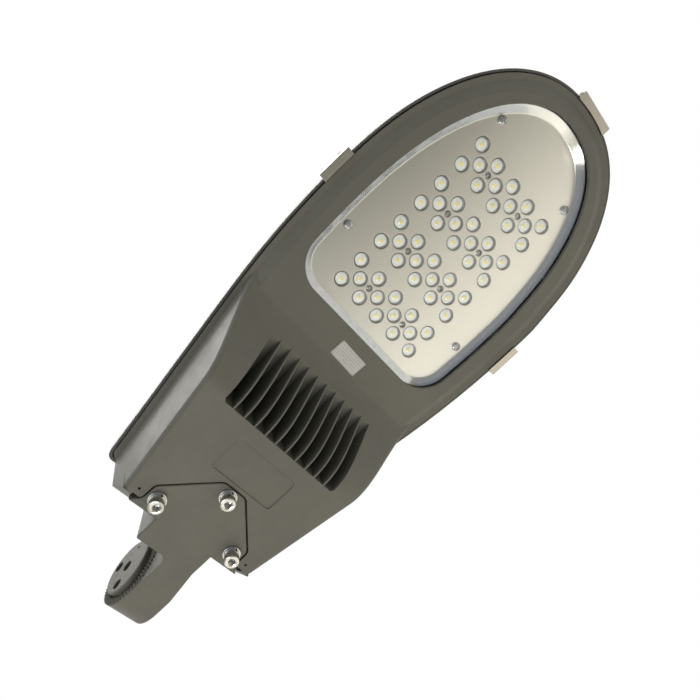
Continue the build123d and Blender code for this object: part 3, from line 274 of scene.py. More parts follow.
class EffectShelf:
    """Builds each shared effect once, as a shader group."""

    def __init__(self) -> None:
        """Builds all the effects."""
        self.trees = {
            Effect.GRAIN: self._grain(),
            Effect.MOTTLE: self._mottle(),
            Effect.RUBBED: self._rubbed(),
            Effect.DUST: self._dust(),
            Effect.BRUSHED: self._brushed(),
            Effect.SCUFFS: self._scuffs(),
        }

    def __getitem__(self, effect: Effect) -> Tree:
        """The group of an effect."""
        return self.trees[effect]

    @staticmethod
    def _sheet(effect: Effect, inputs: dict[str, object], outputs: dict[str, str]
               ) -> tuple[NodeSheet, bpy.types.Node, bpy.types.Node]:
        """Starts a group.

        Args:
            effect: The effect, which names the group.
            inputs: Default value of each input; a tuple makes a vector.
            outputs: Socket type of each output.

        Returns:
            The sheet, the group's input node and its output node.
        """
        tree = bpy.data.node_groups.new(effect.value, "ShaderNodeTree")
        for name, value in inputs.items():
            kind = "NodeSocketVector" if isinstance(value, tuple) else "NodeSocketFloat"
            socket = tree.interface.new_socket(name, in_out="INPUT", socket_type=kind)
            socket.default_value = value
        for name, kind in outputs.items():
            tree.interface.new_socket(name, in_out="OUTPUT", socket_type=kind)
        sheet = NodeSheet(tree)
        return sheet, tree.nodes.new("NodeGroupInput"), tree.nodes.new("NodeGroupOutput")

    def _grain(self) -> Tree:
        """The orange peel and fine sand of a baked powder coat.

        Returns:
            The effect's group.
        """
        sheet, start, end = self._sheet(
            Effect.GRAIN, {"Vector": ORIGIN, "Peel": 0.5},
            {"Height": "NodeSocketFloat", "Fleck": "NodeSocketFloat"})
        place = start.outputs["Vector"]
        peel = sheet.noise(place, 1.6 * MM, 1.0)
        sand = sheet.noise(place, 0.35 * MM, 2.0, 0.6)
        sheet.feed(end.inputs["Height"], sheet.mix_numbers(start.outputs["Peel"], sand, peel))
        sheet.feed(end.inputs["Fleck"], sheet.between(sand, 0.52, 0.72))
        return sheet.tree

    def _mottle(self) -> Tree:
        """Slow changes of tone over a hand's width.

        Returns:
            The effect's group.
        """
        sheet, start, end = self._sheet(
            Effect.MOTTLE, {"Vector": ORIGIN, "Fine": 0.3},
            {"Tone": "NodeSocketFloat"})
        place = start.outputs["Vector"]
        broad = sheet.noise(place, 90 * MM, 2.0)
        close = sheet.noise(place, 11 * MM, 3.0, 0.6)
        tone = sheet.mix_numbers(start.outputs["Fine"], broad, close)
        sheet.feed(end.inputs["Tone"], sheet.between(tone, 0.32, 0.68))
        return sheet.tree

    def _rubbed(self) -> Tree:
        """Rubbed edges, and the softly rounded normal there.

        Returns:
            The effect's group.
        """
        sheet, start, end = self._sheet(
            Effect.RUBBED, {"Vector": ORIGIN, "Width": 0.6 * MM, "Gain": 1.0},
            {"Mask": "NodeSocketFloat", "Normal": "NodeSocketVector"})
        rounded = sheet.add("Bevel", {"Radius": start.outputs["Width"]}, samples=4)
        true_normal = sheet.add("NewGeometry").outputs["Normal"]
        along = sheet.add("VectorMath", operation="DOT_PRODUCT")
        sheet.feed(along.inputs[0], rounded.outputs["Normal"])
        sheet.feed(along.inputs[1], true_normal)
        away = sheet.maths("SUBTRACT", 1.0, along.outputs["Value"])
        edge = sheet.between(away, 0.02, 0.22)
        patch = sheet.between(sheet.noise(start.outputs["Vector"], 7 * MM, 4.0, 0.65), 0.42, 0.66)
        mask = sheet.maths("MULTIPLY", sheet.maths("MULTIPLY", edge, patch),
                           start.outputs["Gain"], clamp=True)
        sheet.feed(end.inputs["Mask"], mask)
        sheet.feed(end.inputs["Normal"], rounded.outputs["Normal"])
        return sheet.tree

    def _dust(self) -> Tree:
        """Dust that settles on what faces up, in soft patches.

        Returns:
            The effect's group.
        """
        sheet, start, end = self._sheet(
            Effect.DUST, {"Vector": ORIGIN, "Amount": 0.3},
            {"Mask": "NodeSocketFloat"})
        normal = sheet.add("NewGeometry").outputs["Normal"]
        up = sheet.add("SeparateXYZ", {"Vector": normal}).outputs["Z"]
        facing = sheet.between(up, 0.1, 0.95)
        patch = sheet.between(sheet.noise(start.outputs["Vector"], 30 * MM, 5.0, 0.62), 0.3, 0.75)
        speck = sheet.between(sheet.noise(start.outputs["Vector"], 0.9 * MM, 1.0), 0.35, 0.7)
        mask = sheet.maths("MULTIPLY", sheet.maths("MULTIPLY", facing, patch), speck)
        sheet.feed(end.inputs["Mask"],
                   sheet.maths("MULTIPLY", mask, start.outputs["Amount"], clamp=True))
        return sheet.tree

    def _brushed(self) -> Tree:
        """Fine parallel lines, along a vector that is already stretched.

        Returns:
            The effect's group.
        """
        sheet, start, end = self._sheet(
            Effect.BRUSHED, {"Vector": ORIGIN},
            {"Height": "NodeSocketFloat", "Gloss": "NodeSocketFloat"})
        place = start.outputs["Vector"]
        lines = sheet.noise(place, 0.25 * MM, 3.0, 0.7)
        bands = sheet.noise(place, 2.2 * MM, 2.0)
        sheet.feed(end.inputs["Height"], lines)
        sheet.feed(end.inputs["Gloss"],
                   sheet.maths("MULTIPLY", lines, sheet.maths("ADD", bands, 0.5)))
        return sheet.tree

    def _scuffs(self) -> Tree:
        """Thin stray scratches and smudges.

        Returns:
            The effect's group.
        """
        sheet, start, end = self._sheet(
            Effect.SCUFFS, {"Vector": ORIGIN, "Size": 14 * MM},
            {"Mask": "NodeSocketFloat"})
        place = start.outputs["Vector"]
        scale = sheet.maths("DIVIDE", 1.0, start.outputs["Size"])
        bent = sheet.add("TexNoise", {"Vector": place, "Scale": scale, "Detail": 3.0})
        cells = sheet.add("TexVoronoi", {"Vector": bent.outputs["Color"], "Scale": 9.0},
                          feature="DISTANCE_TO_EDGE")
        thin = sheet.between(cells.outputs["Distance"], 0.0, 0.012, 1.0, 0.0)
        patch = sheet.between(sheet.noise(place, 16 * MM, 2.0), 0.5, 0.64)
        sheet.feed(end.inputs["Mask"], sheet.maths("MULTIPLY", thin, patch))
        return sheet.tree


# -------------------------------------------------------------------- finishes
@dataclass(frozen=True)
class Finish:
    """A surface finish that can become a material."""

    name: str

    def open(self) -> tuple[Material, NodeSheet, bpy.types.Node]:
        """Starts the material.

        Returns:
            The material, its node sheet and its Principled shader.
        """
        material = bpy.data.materials.new(self.name)
        material.use_nodes = True
        sheet = NodeSheet(material.node_tree)
        shader = sheet.add("BsdfPrincipled")
        end = sheet.add("OutputMaterial")
        sheet.feed(end.inputs["Surface"], shader.outputs["BSDF"])
        return material, sheet, shader

    def build(self, effects: EffectShelf) -> Material:
        """Makes the material.

        Args:
            effects: The shared effects.

        Returns:
            The material.
        """
        raise NotImplementedError


@dataclass(frozen=True)
class PowderCoat(Finish):
    """Baked powder coat on a casting."""

    tone: Colour = (0.152, 0.148, 0.118)
    shade: Colour = (0.134, 0.131, 0.106)
    rubbed: Colour = (0.21, 0.203, 0.175)
    dust: Colour = (0.36, 0.34, 0.30)
    roughness: float = 0.47
    dust_amount: float = 0.30
    rub_width: float = 0.9 * MM

    def build(self, effects: EffectShelf) -> Material:
        """Makes the coat: slow mottle, orange peel, rubbed edges and dust.

        Args:
            effects: The shared effects.

        Returns:
            The material.
        """
        material, sheet, shader = self.open()
        place = sheet.place()
        mottle = sheet.group(effects[Effect.MOTTLE], place, Fine=0.35)
        grain = sheet.group(effects[Effect.GRAIN], place, Peel=0.55)
        rubbed = sheet.group(effects[Effect.RUBBED],
                             place, Width=self.rub_width, Gain=0.55)
        dust = sheet.group(effects[Effect.DUST], place, Amount=self.dust_amount)
        scuffs = sheet.group(effects[Effect.SCUFFS], place, Size=14 * MM)
        colour = sheet.blend(mottle["Tone"], self.shade, self.tone)
        fleck = sheet.maths("MULTIPLY", grain["Fleck"], 0.10)
        colour = sheet.blend(fleck, colour, self.rubbed)
        colour = sheet.blend(rubbed["Mask"], colour, self.rubbed)
        scuffed = sheet.maths("MULTIPLY", scuffs["Mask"], 0.22)
        colour = sheet.blend(scuffed, colour, self.rubbed)
        colour = sheet.blend(dust["Mask"], colour, self.dust)
        sheet.feed(shader.inputs["Base Color"], colour)
        rough = sheet.between(mottle["Tone"], 0.0, 1.0, self.roughness + 0.05,
                              self.roughness - 0.03)
        rough = sheet.maths("ADD", rough, sheet.maths("MULTIPLY", dust["Mask"], 0.35))
        rough = sheet.maths("SUBTRACT", rough, sheet.maths("MULTIPLY", rubbed["Mask"], 0.1))
        sheet.feed(shader.inputs["Roughness"], rough)
        shader.inputs["Specular IOR Level"].default_value = 0.42
        normal = sheet.bump(grain["Height"], 0.09 * MM, 0.55, rubbed["Normal"])
        sheet.feed(shader.inputs["Normal"], normal)
        return material


@dataclass(frozen=True)
class BrushedMetal(Finish):
    """Satin metal with fine lines along one axis."""

    tone: Colour = (0.56, 0.53, 0.465)
    shade: Colour = (0.46, 0.435, 0.385)
    roughness: float = 0.3
    spread: float = 0.16
    grain: Point = (0.03, 1.0, 1.0)
    relief: float = 0.012 * MM
    metallic: float = 1.0
    rub_width: float = 0.25 * MM

    def build(self, effects: EffectShelf) -> Material:
        """Makes the metal: lines, mottle, brighter edges and a few scuffs.

        Args:
            effects: The shared effects.

        Returns:
            The material.
        """
        material, sheet, shader = self.open()
        place = sheet.place()
        lines = sheet.group(effects[Effect.BRUSHED],
                            sheet.stretched(place, self.grain))
        mottle = sheet.group(effects[Effect.MOTTLE], place, Fine=0.6)
        rubbed = sheet.group(effects[Effect.RUBBED],
                             place, Width=self.rub_width, Gain=0.8)
        scuffs = sheet.group(effects[Effect.SCUFFS], place, Size=6 * MM)
        share = sheet.maths("MULTIPLY", mottle["Tone"], 0.6)
        share = sheet.maths("ADD", share, sheet.maths("MULTIPLY", lines["Gloss"], 0.5),
                            clamp=True)
        colour = sheet.blend(share, self.shade, self.tone)
        bright = tuple(min(1.0, 1.25 * part) for part in self.tone)
        colour = sheet.blend(rubbed["Mask"], colour, bright)
        sheet.feed(shader.inputs["Base Color"], colour)
        rough = sheet.between(lines["Gloss"], 0.2, 0.8, self.roughness,
                              self.roughness + self.spread, smooth=False)
        rough = sheet.maths("ADD", rough, sheet.maths("MULTIPLY", scuffs["Mask"], 0.12))
        sheet.feed(shader.inputs["Roughness"], rough)
        shader.inputs["Metallic"].default_value = self.metallic
        normal = sheet.bump(lines["Height"], self.relief, 0.6, rubbed["Normal"])
        sheet.feed(shader.inputs["Normal"], normal)
        return material


@dataclass(frozen=True)
class PressedReflector(Finish):
    """Bright anodised sheet: satin on its flat, near mirror on its bent rim."""

    tone: Colour = (0.77, 0.755, 0.715)
    rim_tone: Colour = (0.80, 0.80, 0.79)
    flat_height: float = 0.041
    flat_roughness: float = 0.29
    rim_roughness: float = 0.10

    def build(self, effects: EffectShelf) -> Material:
        """Makes the sheet, its satin and its mirror parted by height.

        Args:
            effects: The shared effects.

        Returns:
            The material.
        """
        material, sheet, shader = self.open()
        place = sheet.place()
        height = sheet.add("SeparateXYZ", {"Vector": place}).outputs["Z"]
        flat = sheet.between(height, self.flat_height - 0.9 * MM, self.flat_height - 0.1 * MM)
        lines = sheet.group(effects[Effect.BRUSHED],
                            sheet.stretched(place, (0.02, 1.0, 1.0)))
        mottle = sheet.group(effects[Effect.MOTTLE], place, Fine=0.25)
        scuffs = sheet.group(effects[Effect.SCUFFS], place, Size=20 * MM)
        shaded = tuple(0.975 * part for part in self.tone)
        satin = sheet.blend(mottle["Tone"], shaded, self.tone)
        sheet.feed(shader.inputs["Base Color"], sheet.blend(flat, self.rim_tone, satin))
        satin_rough = sheet.between(lines["Gloss"], 0.2, 0.8, self.flat_roughness - 0.01,
                                    self.flat_roughness + 0.02, smooth=False)
        satin_rough = sheet.maths("ADD", satin_rough,
                                  sheet.maths("MULTIPLY", scuffs["Mask"], 0.02))
        span = sheet.maths("SUBTRACT", satin_rough, self.rim_roughness)
        rough = sheet.maths("ADD", self.rim_roughness, sheet.maths("MULTIPLY", span, flat))
        sheet.feed(shader.inputs["Roughness"], rough)
        shader.inputs["Metallic"].default_value = 1.0
        rounded = sheet.group(effects[Effect.RUBBED],
                              place, Width=1.6 * MM, Gain=0.0)
        ripple = sheet.noise(place, 70 * MM, 1.0)
        normal = sheet.bump(ripple, 0.12 * MM, 0.4, rounded["Normal"])
        normal = sheet.bump(lines["Height"], 0.001 * MM, 0.4, normal)
        sheet.feed(shader.inputs["Normal"], normal)
        return material


@dataclass(frozen=True)
class ClearPane(Finish):
    """Clear glass or acrylic that lets the light in through it."""

    tint: Colour = (0.98, 0.99, 0.985)
    ior: float = 1.5
    roughness: float = 0.0
    smudge: float = 0.03
    ripple: float = 0.0

    def build(self, effects: EffectShelf) -> Material:
        """Makes the pane, faintly smudged; shadow rays pass through it.

        Args:
            effects: The shared effects.

        Returns:
            The material.
        """
        material, sheet, shader = self.open()
        place = sheet.place()
        mottle = sheet.group(effects[Effect.MOTTLE], place, Fine=0.5)
        shader.inputs["Base Color"].default_value = (*self.tint, 1.0)
        shader.inputs["Transmission Weight"].default_value = 1.0
        shader.inputs["IOR"].default_value = self.ior
        rough = sheet.between(mottle["Tone"], 0.0, 1.0, self.roughness,
                              self.roughness + self.smudge)
        sheet.feed(shader.inputs["Roughness"], rough)
        if self.ripple:
            normal = sheet.bump(sheet.noise(place, 3 * MM, 1.0), self.ripple, 0.4)
            sheet.feed(shader.inputs["Normal"], normal)
        clear = sheet.add("BsdfTransparent", {"Color": self.tint})
        shadow = sheet.add("LightPath").outputs["Is Shadow Ray"]
        mix = sheet.add("MixShader", {"Fac": shadow, 1: shader.outputs["BSDF"],
                                      2: clear.outputs["BSDF"]})
        end = next(node for node in sheet.tree.nodes if node.type == "OUTPUT_MATERIAL")
        sheet.feed(end.inputs["Surface"], mix.outputs["Shader"])
        return material


@dataclass(frozen=True)
class MouldedPlastic(Finish):
    """Moulded plastic or rubber with a spark-eroded grain."""

    tone: Colour = (0.03, 0.03, 0.032)
    shade: Colour = (0.022, 0.022, 0.024)
    roughness: float = 0.5
    relief: float = 0.05 * MM
    dust_amount: float = 0.25
    dust: Colour = (0.30, 0.29, 0.27)
    # Strength of a painted glow: emission on a part that is no lamp.
    glow: float = 0.0

    def build(self, effects: EffectShelf) -> Material:
        """Makes the plastic: mottle, grain, softened edges and dust, and a painted glow where glow
        is set.

        Args:
            effects: The shared effects.

        Returns:
            The material.
        """
        material, sheet, shader = self.open()
        place = sheet.place()
        mottle = sheet.group(effects[Effect.MOTTLE], place, Fine=0.6)
        grain = sheet.group(effects[Effect.GRAIN], place, Peel=0.2)
        rubbed = sheet.group(effects[Effect.RUBBED],
                             place, Width=0.4 * MM, Gain=0.5)
        dust = sheet.group(effects[Effect.DUST], place, Amount=self.dust_amount)
        colour = sheet.blend(mottle["Tone"], self.shade, self.tone)
        lighter = tuple(min(1.0, 1.5 * part + 0.02) for part in self.tone)
        colour = sheet.blend(rubbed["Mask"], colour, lighter)
        colour = sheet.blend(dust["Mask"], colour, self.dust)
        sheet.feed(shader.inputs["Base Color"], colour)
        rough = sheet.between(grain["Height"], 0.3, 0.7, self.roughness - 0.05,
                              self.roughness + 0.08)
        sheet.feed(shader.inputs["Roughness"], rough)
        normal = sheet.bump(grain["Height"], self.relief, 0.5, rubbed["Normal"])
        sheet.feed(shader.inputs["Normal"], normal)
        # Emission on a part that is no lamp: painted light that brightens it.
        if self.glow:
            sheet.feed(shader.inputs["Emission Color"], colour)
            shader.inputs["Emission Strength"].default_value = self.glow
        return material


@dataclass(frozen=True)
class PrintedFilm(Finish):
    """A pale label film with a printed border and rules, and no lettering."""

    centre: tuple[float, float] = (0.279, 0.007)
    half_size: tuple[float, float] = (8.5 * MM, 16.5 * MM)
    tilt: float = radians(2.5)
    film: Colour = (0.62, 0.62, 0.58)
    ink: Colour = (0.20, 0.20, 0.19)

    def build(self, effects: EffectShelf) -> Material:
        """Makes the film; its rules run along the label's short side.

        Args:
            effects: The shared effects.

        Returns:
            The material.
        """
        material, sheet, shader = self.open()
        place = sheet.place()
        shifted = sheet.add("VectorMath", operation="SUBTRACT")
        sheet.feed(shifted.inputs[0], place)
        sheet.feed(shifted.inputs[1], (*self.centre, 0.0))
        turned = sheet.add("Mapping", {"Vector": shifted.outputs[0],
                                       "Rotation": (0.0, 0.0, -self.tilt)})
        split = sheet.add("SeparateXYZ", {"Vector": turned.outputs["Vector"]})
        across, along = split.outputs["X"], split.outputs["Y"]
        border = self._frame(sheet, across, self.half_size[0])
        border = sheet.maths("MAXIMUM", border, self._frame(sheet, along, self.half_size[1]))
        wave = sheet.maths("SINE", sheet.maths("MULTIPLY", across, tau / (2.6 * MM)))
        rule = sheet.between(wave, 0.78, 0.95)
        inside = sheet.between(sheet.maths("ABSOLUTE", along), self.half_size[1] - 3.2 * MM,
                               self.half_size[1] - 3.0 * MM, 1.0, 0.0)
        inside_short = sheet.between(sheet.maths("ABSOLUTE", across),
                                     self.half_size[0] - 2.2 * MM,
                                     self.half_size[0] - 2.0 * MM, 1.0, 0.0)
        rule = sheet.maths("MULTIPLY", rule, sheet.maths("MULTIPLY", inside, inside_short))
        worn = sheet.between(sheet.noise(place, 2.4 * MM, 3.0), 0.36, 0.5, 0.35, 1.0)
        ink = sheet.maths("MULTIPLY", sheet.maths("MAXIMUM", border, rule), worn)
        mottle = sheet.group(effects[Effect.MOTTLE], place, Fine=0.8)
        aged = tuple(0.92 * part for part in self.film)
        paper = sheet.blend(mottle["Tone"], aged, self.film)
        share = sheet.maths("MULTIPLY", ink, 0.7)
        sheet.feed(shader.inputs["Base Color"], sheet.blend(share, paper, self.ink))
        sheet.feed(shader.inputs["Roughness"],
                   sheet.between(mottle["Tone"], 0.0, 1.0, 0.42, 0.34))
        return material

    @staticmethod
    def _frame(sheet: NodeSheet, coordinate: Socket,
               half: float) -> Socket:
        """A thin printed line just inside both ends of one direction.

        Args:
            sheet: The node sheet.
            coordinate: Place along the direction, from the label's middle.
            half: Half the label's size along it.

        Returns:
            A mask of the line.
        """
        size = sheet.maths("ABSOLUTE", coordinate)
        outer = sheet.between(size, half - 0.9 * MM, half - 0.8 * MM, 1.0, 0.0)
        inner = sheet.between(size, half - 1.25 * MM, half - 1.15 * MM)
        return sheet.maths("MULTIPLY", outer, inner)


class FinishRack:
    """All the finishes, each made once."""

    def __init__(self, effects: EffectShelf) -> None:
        """Makes every material."""
        steel_bright = (0.74, 0.735, 0.70)
        finishes = (
            PowderCoat("warm_grey_powder_coat"),
            PowderCoat("cover_powder_coat", tone=(0.112, 0.109, 0.09), shade=(0.096, 0.094, 0.079)),
            BrushedMetal("stainless_clip_sheet", grain=(1.0, 1.0, 0.05)),
            BrushedMetal("polished_stainless", tone=steel_bright, shade=(0.6, 0.595, 0.57),
                         roughness=0.13, spread=0.1, grain=(1.0, 1.0, 0.2), relief=0.006 * MM),
            BrushedMetal("zinc_plate", tone=(0.66, 0.67, 0.67), shade=(0.36, 0.37, 0.38),
                         roughness=0.14, spread=0.2, grain=(0.6, 0.6, 1.0), relief=0.03 * MM),
            BrushedMetal("milled_aluminium", tone=(0.62, 0.62, 0.61), shade=(0.5, 0.5, 0.495),
                         roughness=0.36, spread=0.18, grain=(0.04, 1.0, 1.0)),
            BrushedMetal("anodised_case", tone=(0.56, 0.57, 0.585), shade=(0.48, 0.49, 0.505),
                         roughness=0.4, spread=0.1, grain=(1.0, 0.03, 1.0)),
            BrushedMetal("plated_brass", tone=(0.72, 0.56, 0.27), shade=(0.58, 0.43, 0.19),
                         roughness=0.26, spread=0.14, grain=(1.0, 0.2, 1.0)),
            PressedReflector("pressed_reflector"),
            ClearPane("toughened_glass"),
            ClearPane("lens_acrylic", tint=(0.985, 0.99, 0.985), ior=1.49, roughness=0.015,
                      smudge=0.03, ripple=0.01 * MM),
            # The phosphor and the ceramic glow: painted light that brightens them through the
            # lenses.
            MouldedPlastic("phosphor_painted_glow", tone=(0.95, 0.84, 0.36), shade=(0.90, 0.76, 0.26),
                           roughness=0.35, dust_amount=0.0, glow=0.22),
            MouldedPlastic("package_ceramic_painted_glow", tone=(0.93, 0.93, 0.90), shade=(0.88, 0.88, 0.85),
                           roughness=0.4, dust_amount=0.0, glow=0.12),
            # The board is drawn mid grey, darker than its white mask: painted shade that gives each
            # lens its grey outer ring.
            MouldedPlastic("solder_mask_painted_shade", tone=(0.42, 0.425, 0.42), shade=(0.36, 0.365, 0.36),
                           roughness=0.28, dust_amount=0.0, relief=0.02 * MM),
            MouldedPlastic("black_silicone", tone=(0.02, 0.02, 0.021), shade=(0.013, 0.013, 0.014),
                           roughness=0.62),
            MouldedPlastic("black_nylon", roughness=0.42),
            MouldedPlastic("light_nylon", tone=(0.66, 0.66, 0.62), shade=(0.6, 0.6, 0.56),
                           roughness=0.45),
            MouldedPlastic("blue_case", tone=(0.05, 0.13, 0.34), shade=(0.04, 0.11, 0.29),
                           roughness=0.4),
            PrintedFilm("label_film"),
        )
        self.materials = {finish.name: finish.build(effects) for finish in finishes}

    def __getitem__(self, name: str) -> Material:
        """A material by its finish's name."""
        return self.materials[name]


# ------------------------------------------------------------------ piece work
def stood(mesh: Mesh, name: str, material: Material) -> bpy.types.Object:
    """Puts a mesh in the scene as an object.

    Args:
        mesh: The mesh; it is freed here.
        name: The object's name.
        material: Its material.

    Returns:
        The new object, at the origin.
    """
    data = bpy.data.meshes.new(name)
    mesh.to_mesh(data)
    mesh.free()
    data.materials.append(material)
    thing = bpy.data.objects.new(name, data)
    bpy.context.scene.collection.objects.link(thing)
    return thing


class Bench:
    """Turns meshes into pieces on their bodies, and dresses the frame's nodes."""

    def __init__(self, frame: dict, finishes: FinishRack) -> None:
        """Keeps the loaded frame's nodes and the finishes at hand."""
        self.nodes = frame["nodes"]
        self.finishes = finishes

    def dress(self, finish: str, *nodes: str) -> None:
        """Gives frame nodes a finish.

        Args:
            finish: The finish's name.
            nodes: Names of the nodes.
        """
        for node in nodes:
            mesh = self.nodes[node].data
            if not mesh.materials:
                mesh.materials.append(None)
            for index in range(len(mesh.materials)):
                mesh.materials[index] = self.finishes[finish]
            LOG.info("dressed %s in %s", node, finish)

    def piece(self, mesh: Mesh, name: str, finish: str, body: Body, slot: Slot,
              replaces: tuple[str, ...] = (), smooth_angle: float = 40.0) -> bpy.types.Object:
        """Makes a finished piece of a mesh.

        Args:
            mesh: The piece's mesh in the frame's place; it is freed here.
            name: The piece's name.
            finish: The finish's name.
            body: The body it rides on.
            slot: The record's slot of its finish; not used.
            replaces: Nodes that it stands for.
            smooth_angle: Edges sharper than this stay crisp, in degrees.

        Returns:
            The new object.
        """
        for face in mesh.faces:
            face.smooth = True
        piece = stood(mesh, name, self.finishes[finish])
        piece.data.set_sharp_from_angle(angle=radians(smooth_angle))
        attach(piece, body.value)
        if replaces:
            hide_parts(*replaces)
        LOG.info("built %s: %d faces", name, len(piece.data.polygons))
        return piece

    def softened(self, node: str, width: float, finish: str, body: Body, slot: Slot,
                 steps: int = 2) -> bpy.types.Object:
        """A copy of a node with its sharp edges rounded, which stands for it.

        Args:
            node: The node.
            width: Width of the rounding in metres.
            finish: The finish's name.
            body: The body it rides on.
            slot: The record's slot of its finish.
            steps: Faces across the rounding.

        Returns:
            The new object.
        """
        mesh = bmesh.new()
        mesh.from_mesh(self.nodes[node].data)
        bmesh.ops.remove_doubles(mesh, verts=mesh.verts, dist=MERGE_REACH)
        bmesh.ops.dissolve_limit(mesh, angle_limit=FLAT_ANGLE, verts=mesh.verts,
                                 edges=mesh.edges, use_dissolve_boundaries=False)
        sharp = [edge for edge in mesh.edges
                 if len(edge.link_faces) == 2 and edge.calc_face_angle() > SHARP_ANGLE]
        eased(mesh, sharp, width, steps, clamp=True)
        piece = self.piece(mesh, node + "_rounded", finish, body, slot, (node,), 50.0)
        weighted = piece.modifiers.new("even_normals", "WEIGHTED_NORMAL")
        weighted.keep_sharp = True
        return piece


def eased(mesh: Mesh, edges: list[bmesh.types.BMEdge], width: float, steps: int = 2,
          clamp: bool = False) -> None:
    """Rounds edges of a mesh.

    Args:
        mesh: The mesh.
        edges: The edges to round.
        width: Width of the rounding.
        steps: Faces across it.
        clamp: Whether roundings stop where they would meet.
    """
    bmesh.ops.bevel(mesh, geom=edges, offset=width, offset_type="OFFSET", affect="EDGES",
                    segments=steps, profile=0.5, material=-1, clamp_overlap=clamp)


def spun(outline: list[tuple[float, float]], centre: Point, steps: int,
         closed: bool = True) -> Mesh:
    """Turns an outline all the way round an upright axis.

    Args:
        outline: Radius and height of each point, from the centre.
        centre: The axis's place; heights are measured from it.
        steps: Faces round the axis.
        closed: Whether the outline's last point joins its first.

    Returns:
        The turned mesh, closed where the outline meets the axis.
    """
    mesh = bmesh.new()
    points = [mesh.verts.new((centre[0] + radius, centre[1], centre[2] + height))
              for radius, height in outline]
    pairs = list(zip(points, points[1:]))
    if closed:
        pairs.append((points[-1], points[0]))
    edges = [mesh.edges.new(pair) for pair in pairs]
    bmesh.ops.spin(mesh, geom=points + edges, cent=centre, axis=UPRIGHT,
                   dvec=ORIGIN, angle=tau, steps=steps, use_merge=True)
    bmesh.ops.remove_doubles(mesh, verts=mesh.verts, dist=SPIN_MERGE_REACH)
    bmesh.ops.dissolve_degenerate(mesh, edges=mesh.edges, dist=MERGE_REACH)
    bmesh.ops.recalc_face_normals(mesh, faces=mesh.faces)
    return mesh


def copied(mesh: Mesh, moves: list[Vector]) -> Mesh:
    """The same mesh at several places.

    Args:
        mesh: The mesh at its first place; it is freed here.
        moves: How far each copy goes from there.

    Returns:
        One mesh with all the copies.
    """
    result = bmesh.new()
    pattern = bpy.data.meshes.new("pattern")
    mesh.to_mesh(pattern)
    mesh.free()
    for move in moves:
        start = len(result.verts)
        result.from_mesh(pattern)
        result.verts.ensure_lookup_table()
        bmesh.ops.translate(result, vec=move, verts=result.verts[start:])
    bpy.data.meshes.remove(pattern)
    return result


def island_spots(node: bpy.types.Object) -> list[tuple[float, float]]:
    """Middle in plan of each separate part of a node's mesh.

    Args:
        node: A frame node of several like parts.

    Returns:
        The middles.
    """
    mesh = bmesh.new()
    mesh.from_mesh(node.data)
    bmesh.ops.remove_doubles(mesh, verts=mesh.verts, dist=MERGE_REACH)
    left = set(mesh.verts)
    spots = []
    while left:
        island, front = set(), {left.pop()}
        while front:
            island |= front
            reached = {edge.other_vert(vert) for vert in front for edge in vert.link_edges}
            front = reached - island
        left -= island
        xs = [vert.co.x for vert in island]
        ys = [vert.co.y for vert in island]
        spots.append(((min(xs) + max(xs)) / 2, (min(ys) + max(ys)) / 2))
    mesh.free()
    return spots


# --------------------------------------------------------------- sub-assemblies
@dataclass
class CastHousing:
    """The lower casting with its driver box, fins and window frame, and its label."""

    bench: Bench
    coat: str = "warm_grey_powder_coat"

    def build(self) -> None:
        """Dresses the casting, its seals and its label."""
        self.bench.dress(self.coat, "lower_housing")
        self.bench.dress("label_film", "rating_label")
        self.bench.dress("black_silicone", "cover_gasket", "glass_gasket")


@dataclass
class HingedCover:
    """The cover with its hinge pin and circlips."""

    bench: Bench
    edge: float = 0.25 * MM

    def build(self) -> None:
        """Dresses the cover and its pin, and rounds its circlips."""
        self.bench.dress("cover_powder_coat", "cover")
        self.bench.dress("polished_stainless", "hinge_pin")
        self.bench.softened("hinge_circlips", self.edge / 2, "zinc_plate", Body.HOUSING,
                            Slot.STAINLESS)


@dataclass
class ToggleClips:
    """Three bent stainless clips and their pins."""

    bench: Bench
    edge: float = 0.35 * MM
    sides: dict[str, Body] = field(default_factory=lambda: {
        "left": Body.CLIP_LEFT, "right": Body.CLIP_RIGHT, "tip": Body.CLIP_TIP})

    def build(self) -> None:
        """Rounds each clip's sheared edges and dresses the pins."""
        for side, body in self.sides.items():
            self.bench.softened("toggle_clip_" + side, self.edge, "stainless_clip_sheet", body,
                                Slot.STAINLESS)
            self.bench.dress("polished_stainless", "clip_pin_" + side)


@dataclass
class GlassWindow:
    """The flat pane, its clips and their screws."""

    bench: Bench

    def build(self) -> None:
        """Dresses the pane and what holds it."""
        self.bench.dress("toughened_glass", "window_glass")
        self.bench.dress("milled_aluminium", "glass_clips")
        self.bench.dress("zinc_plate", "glass_clip_screws")


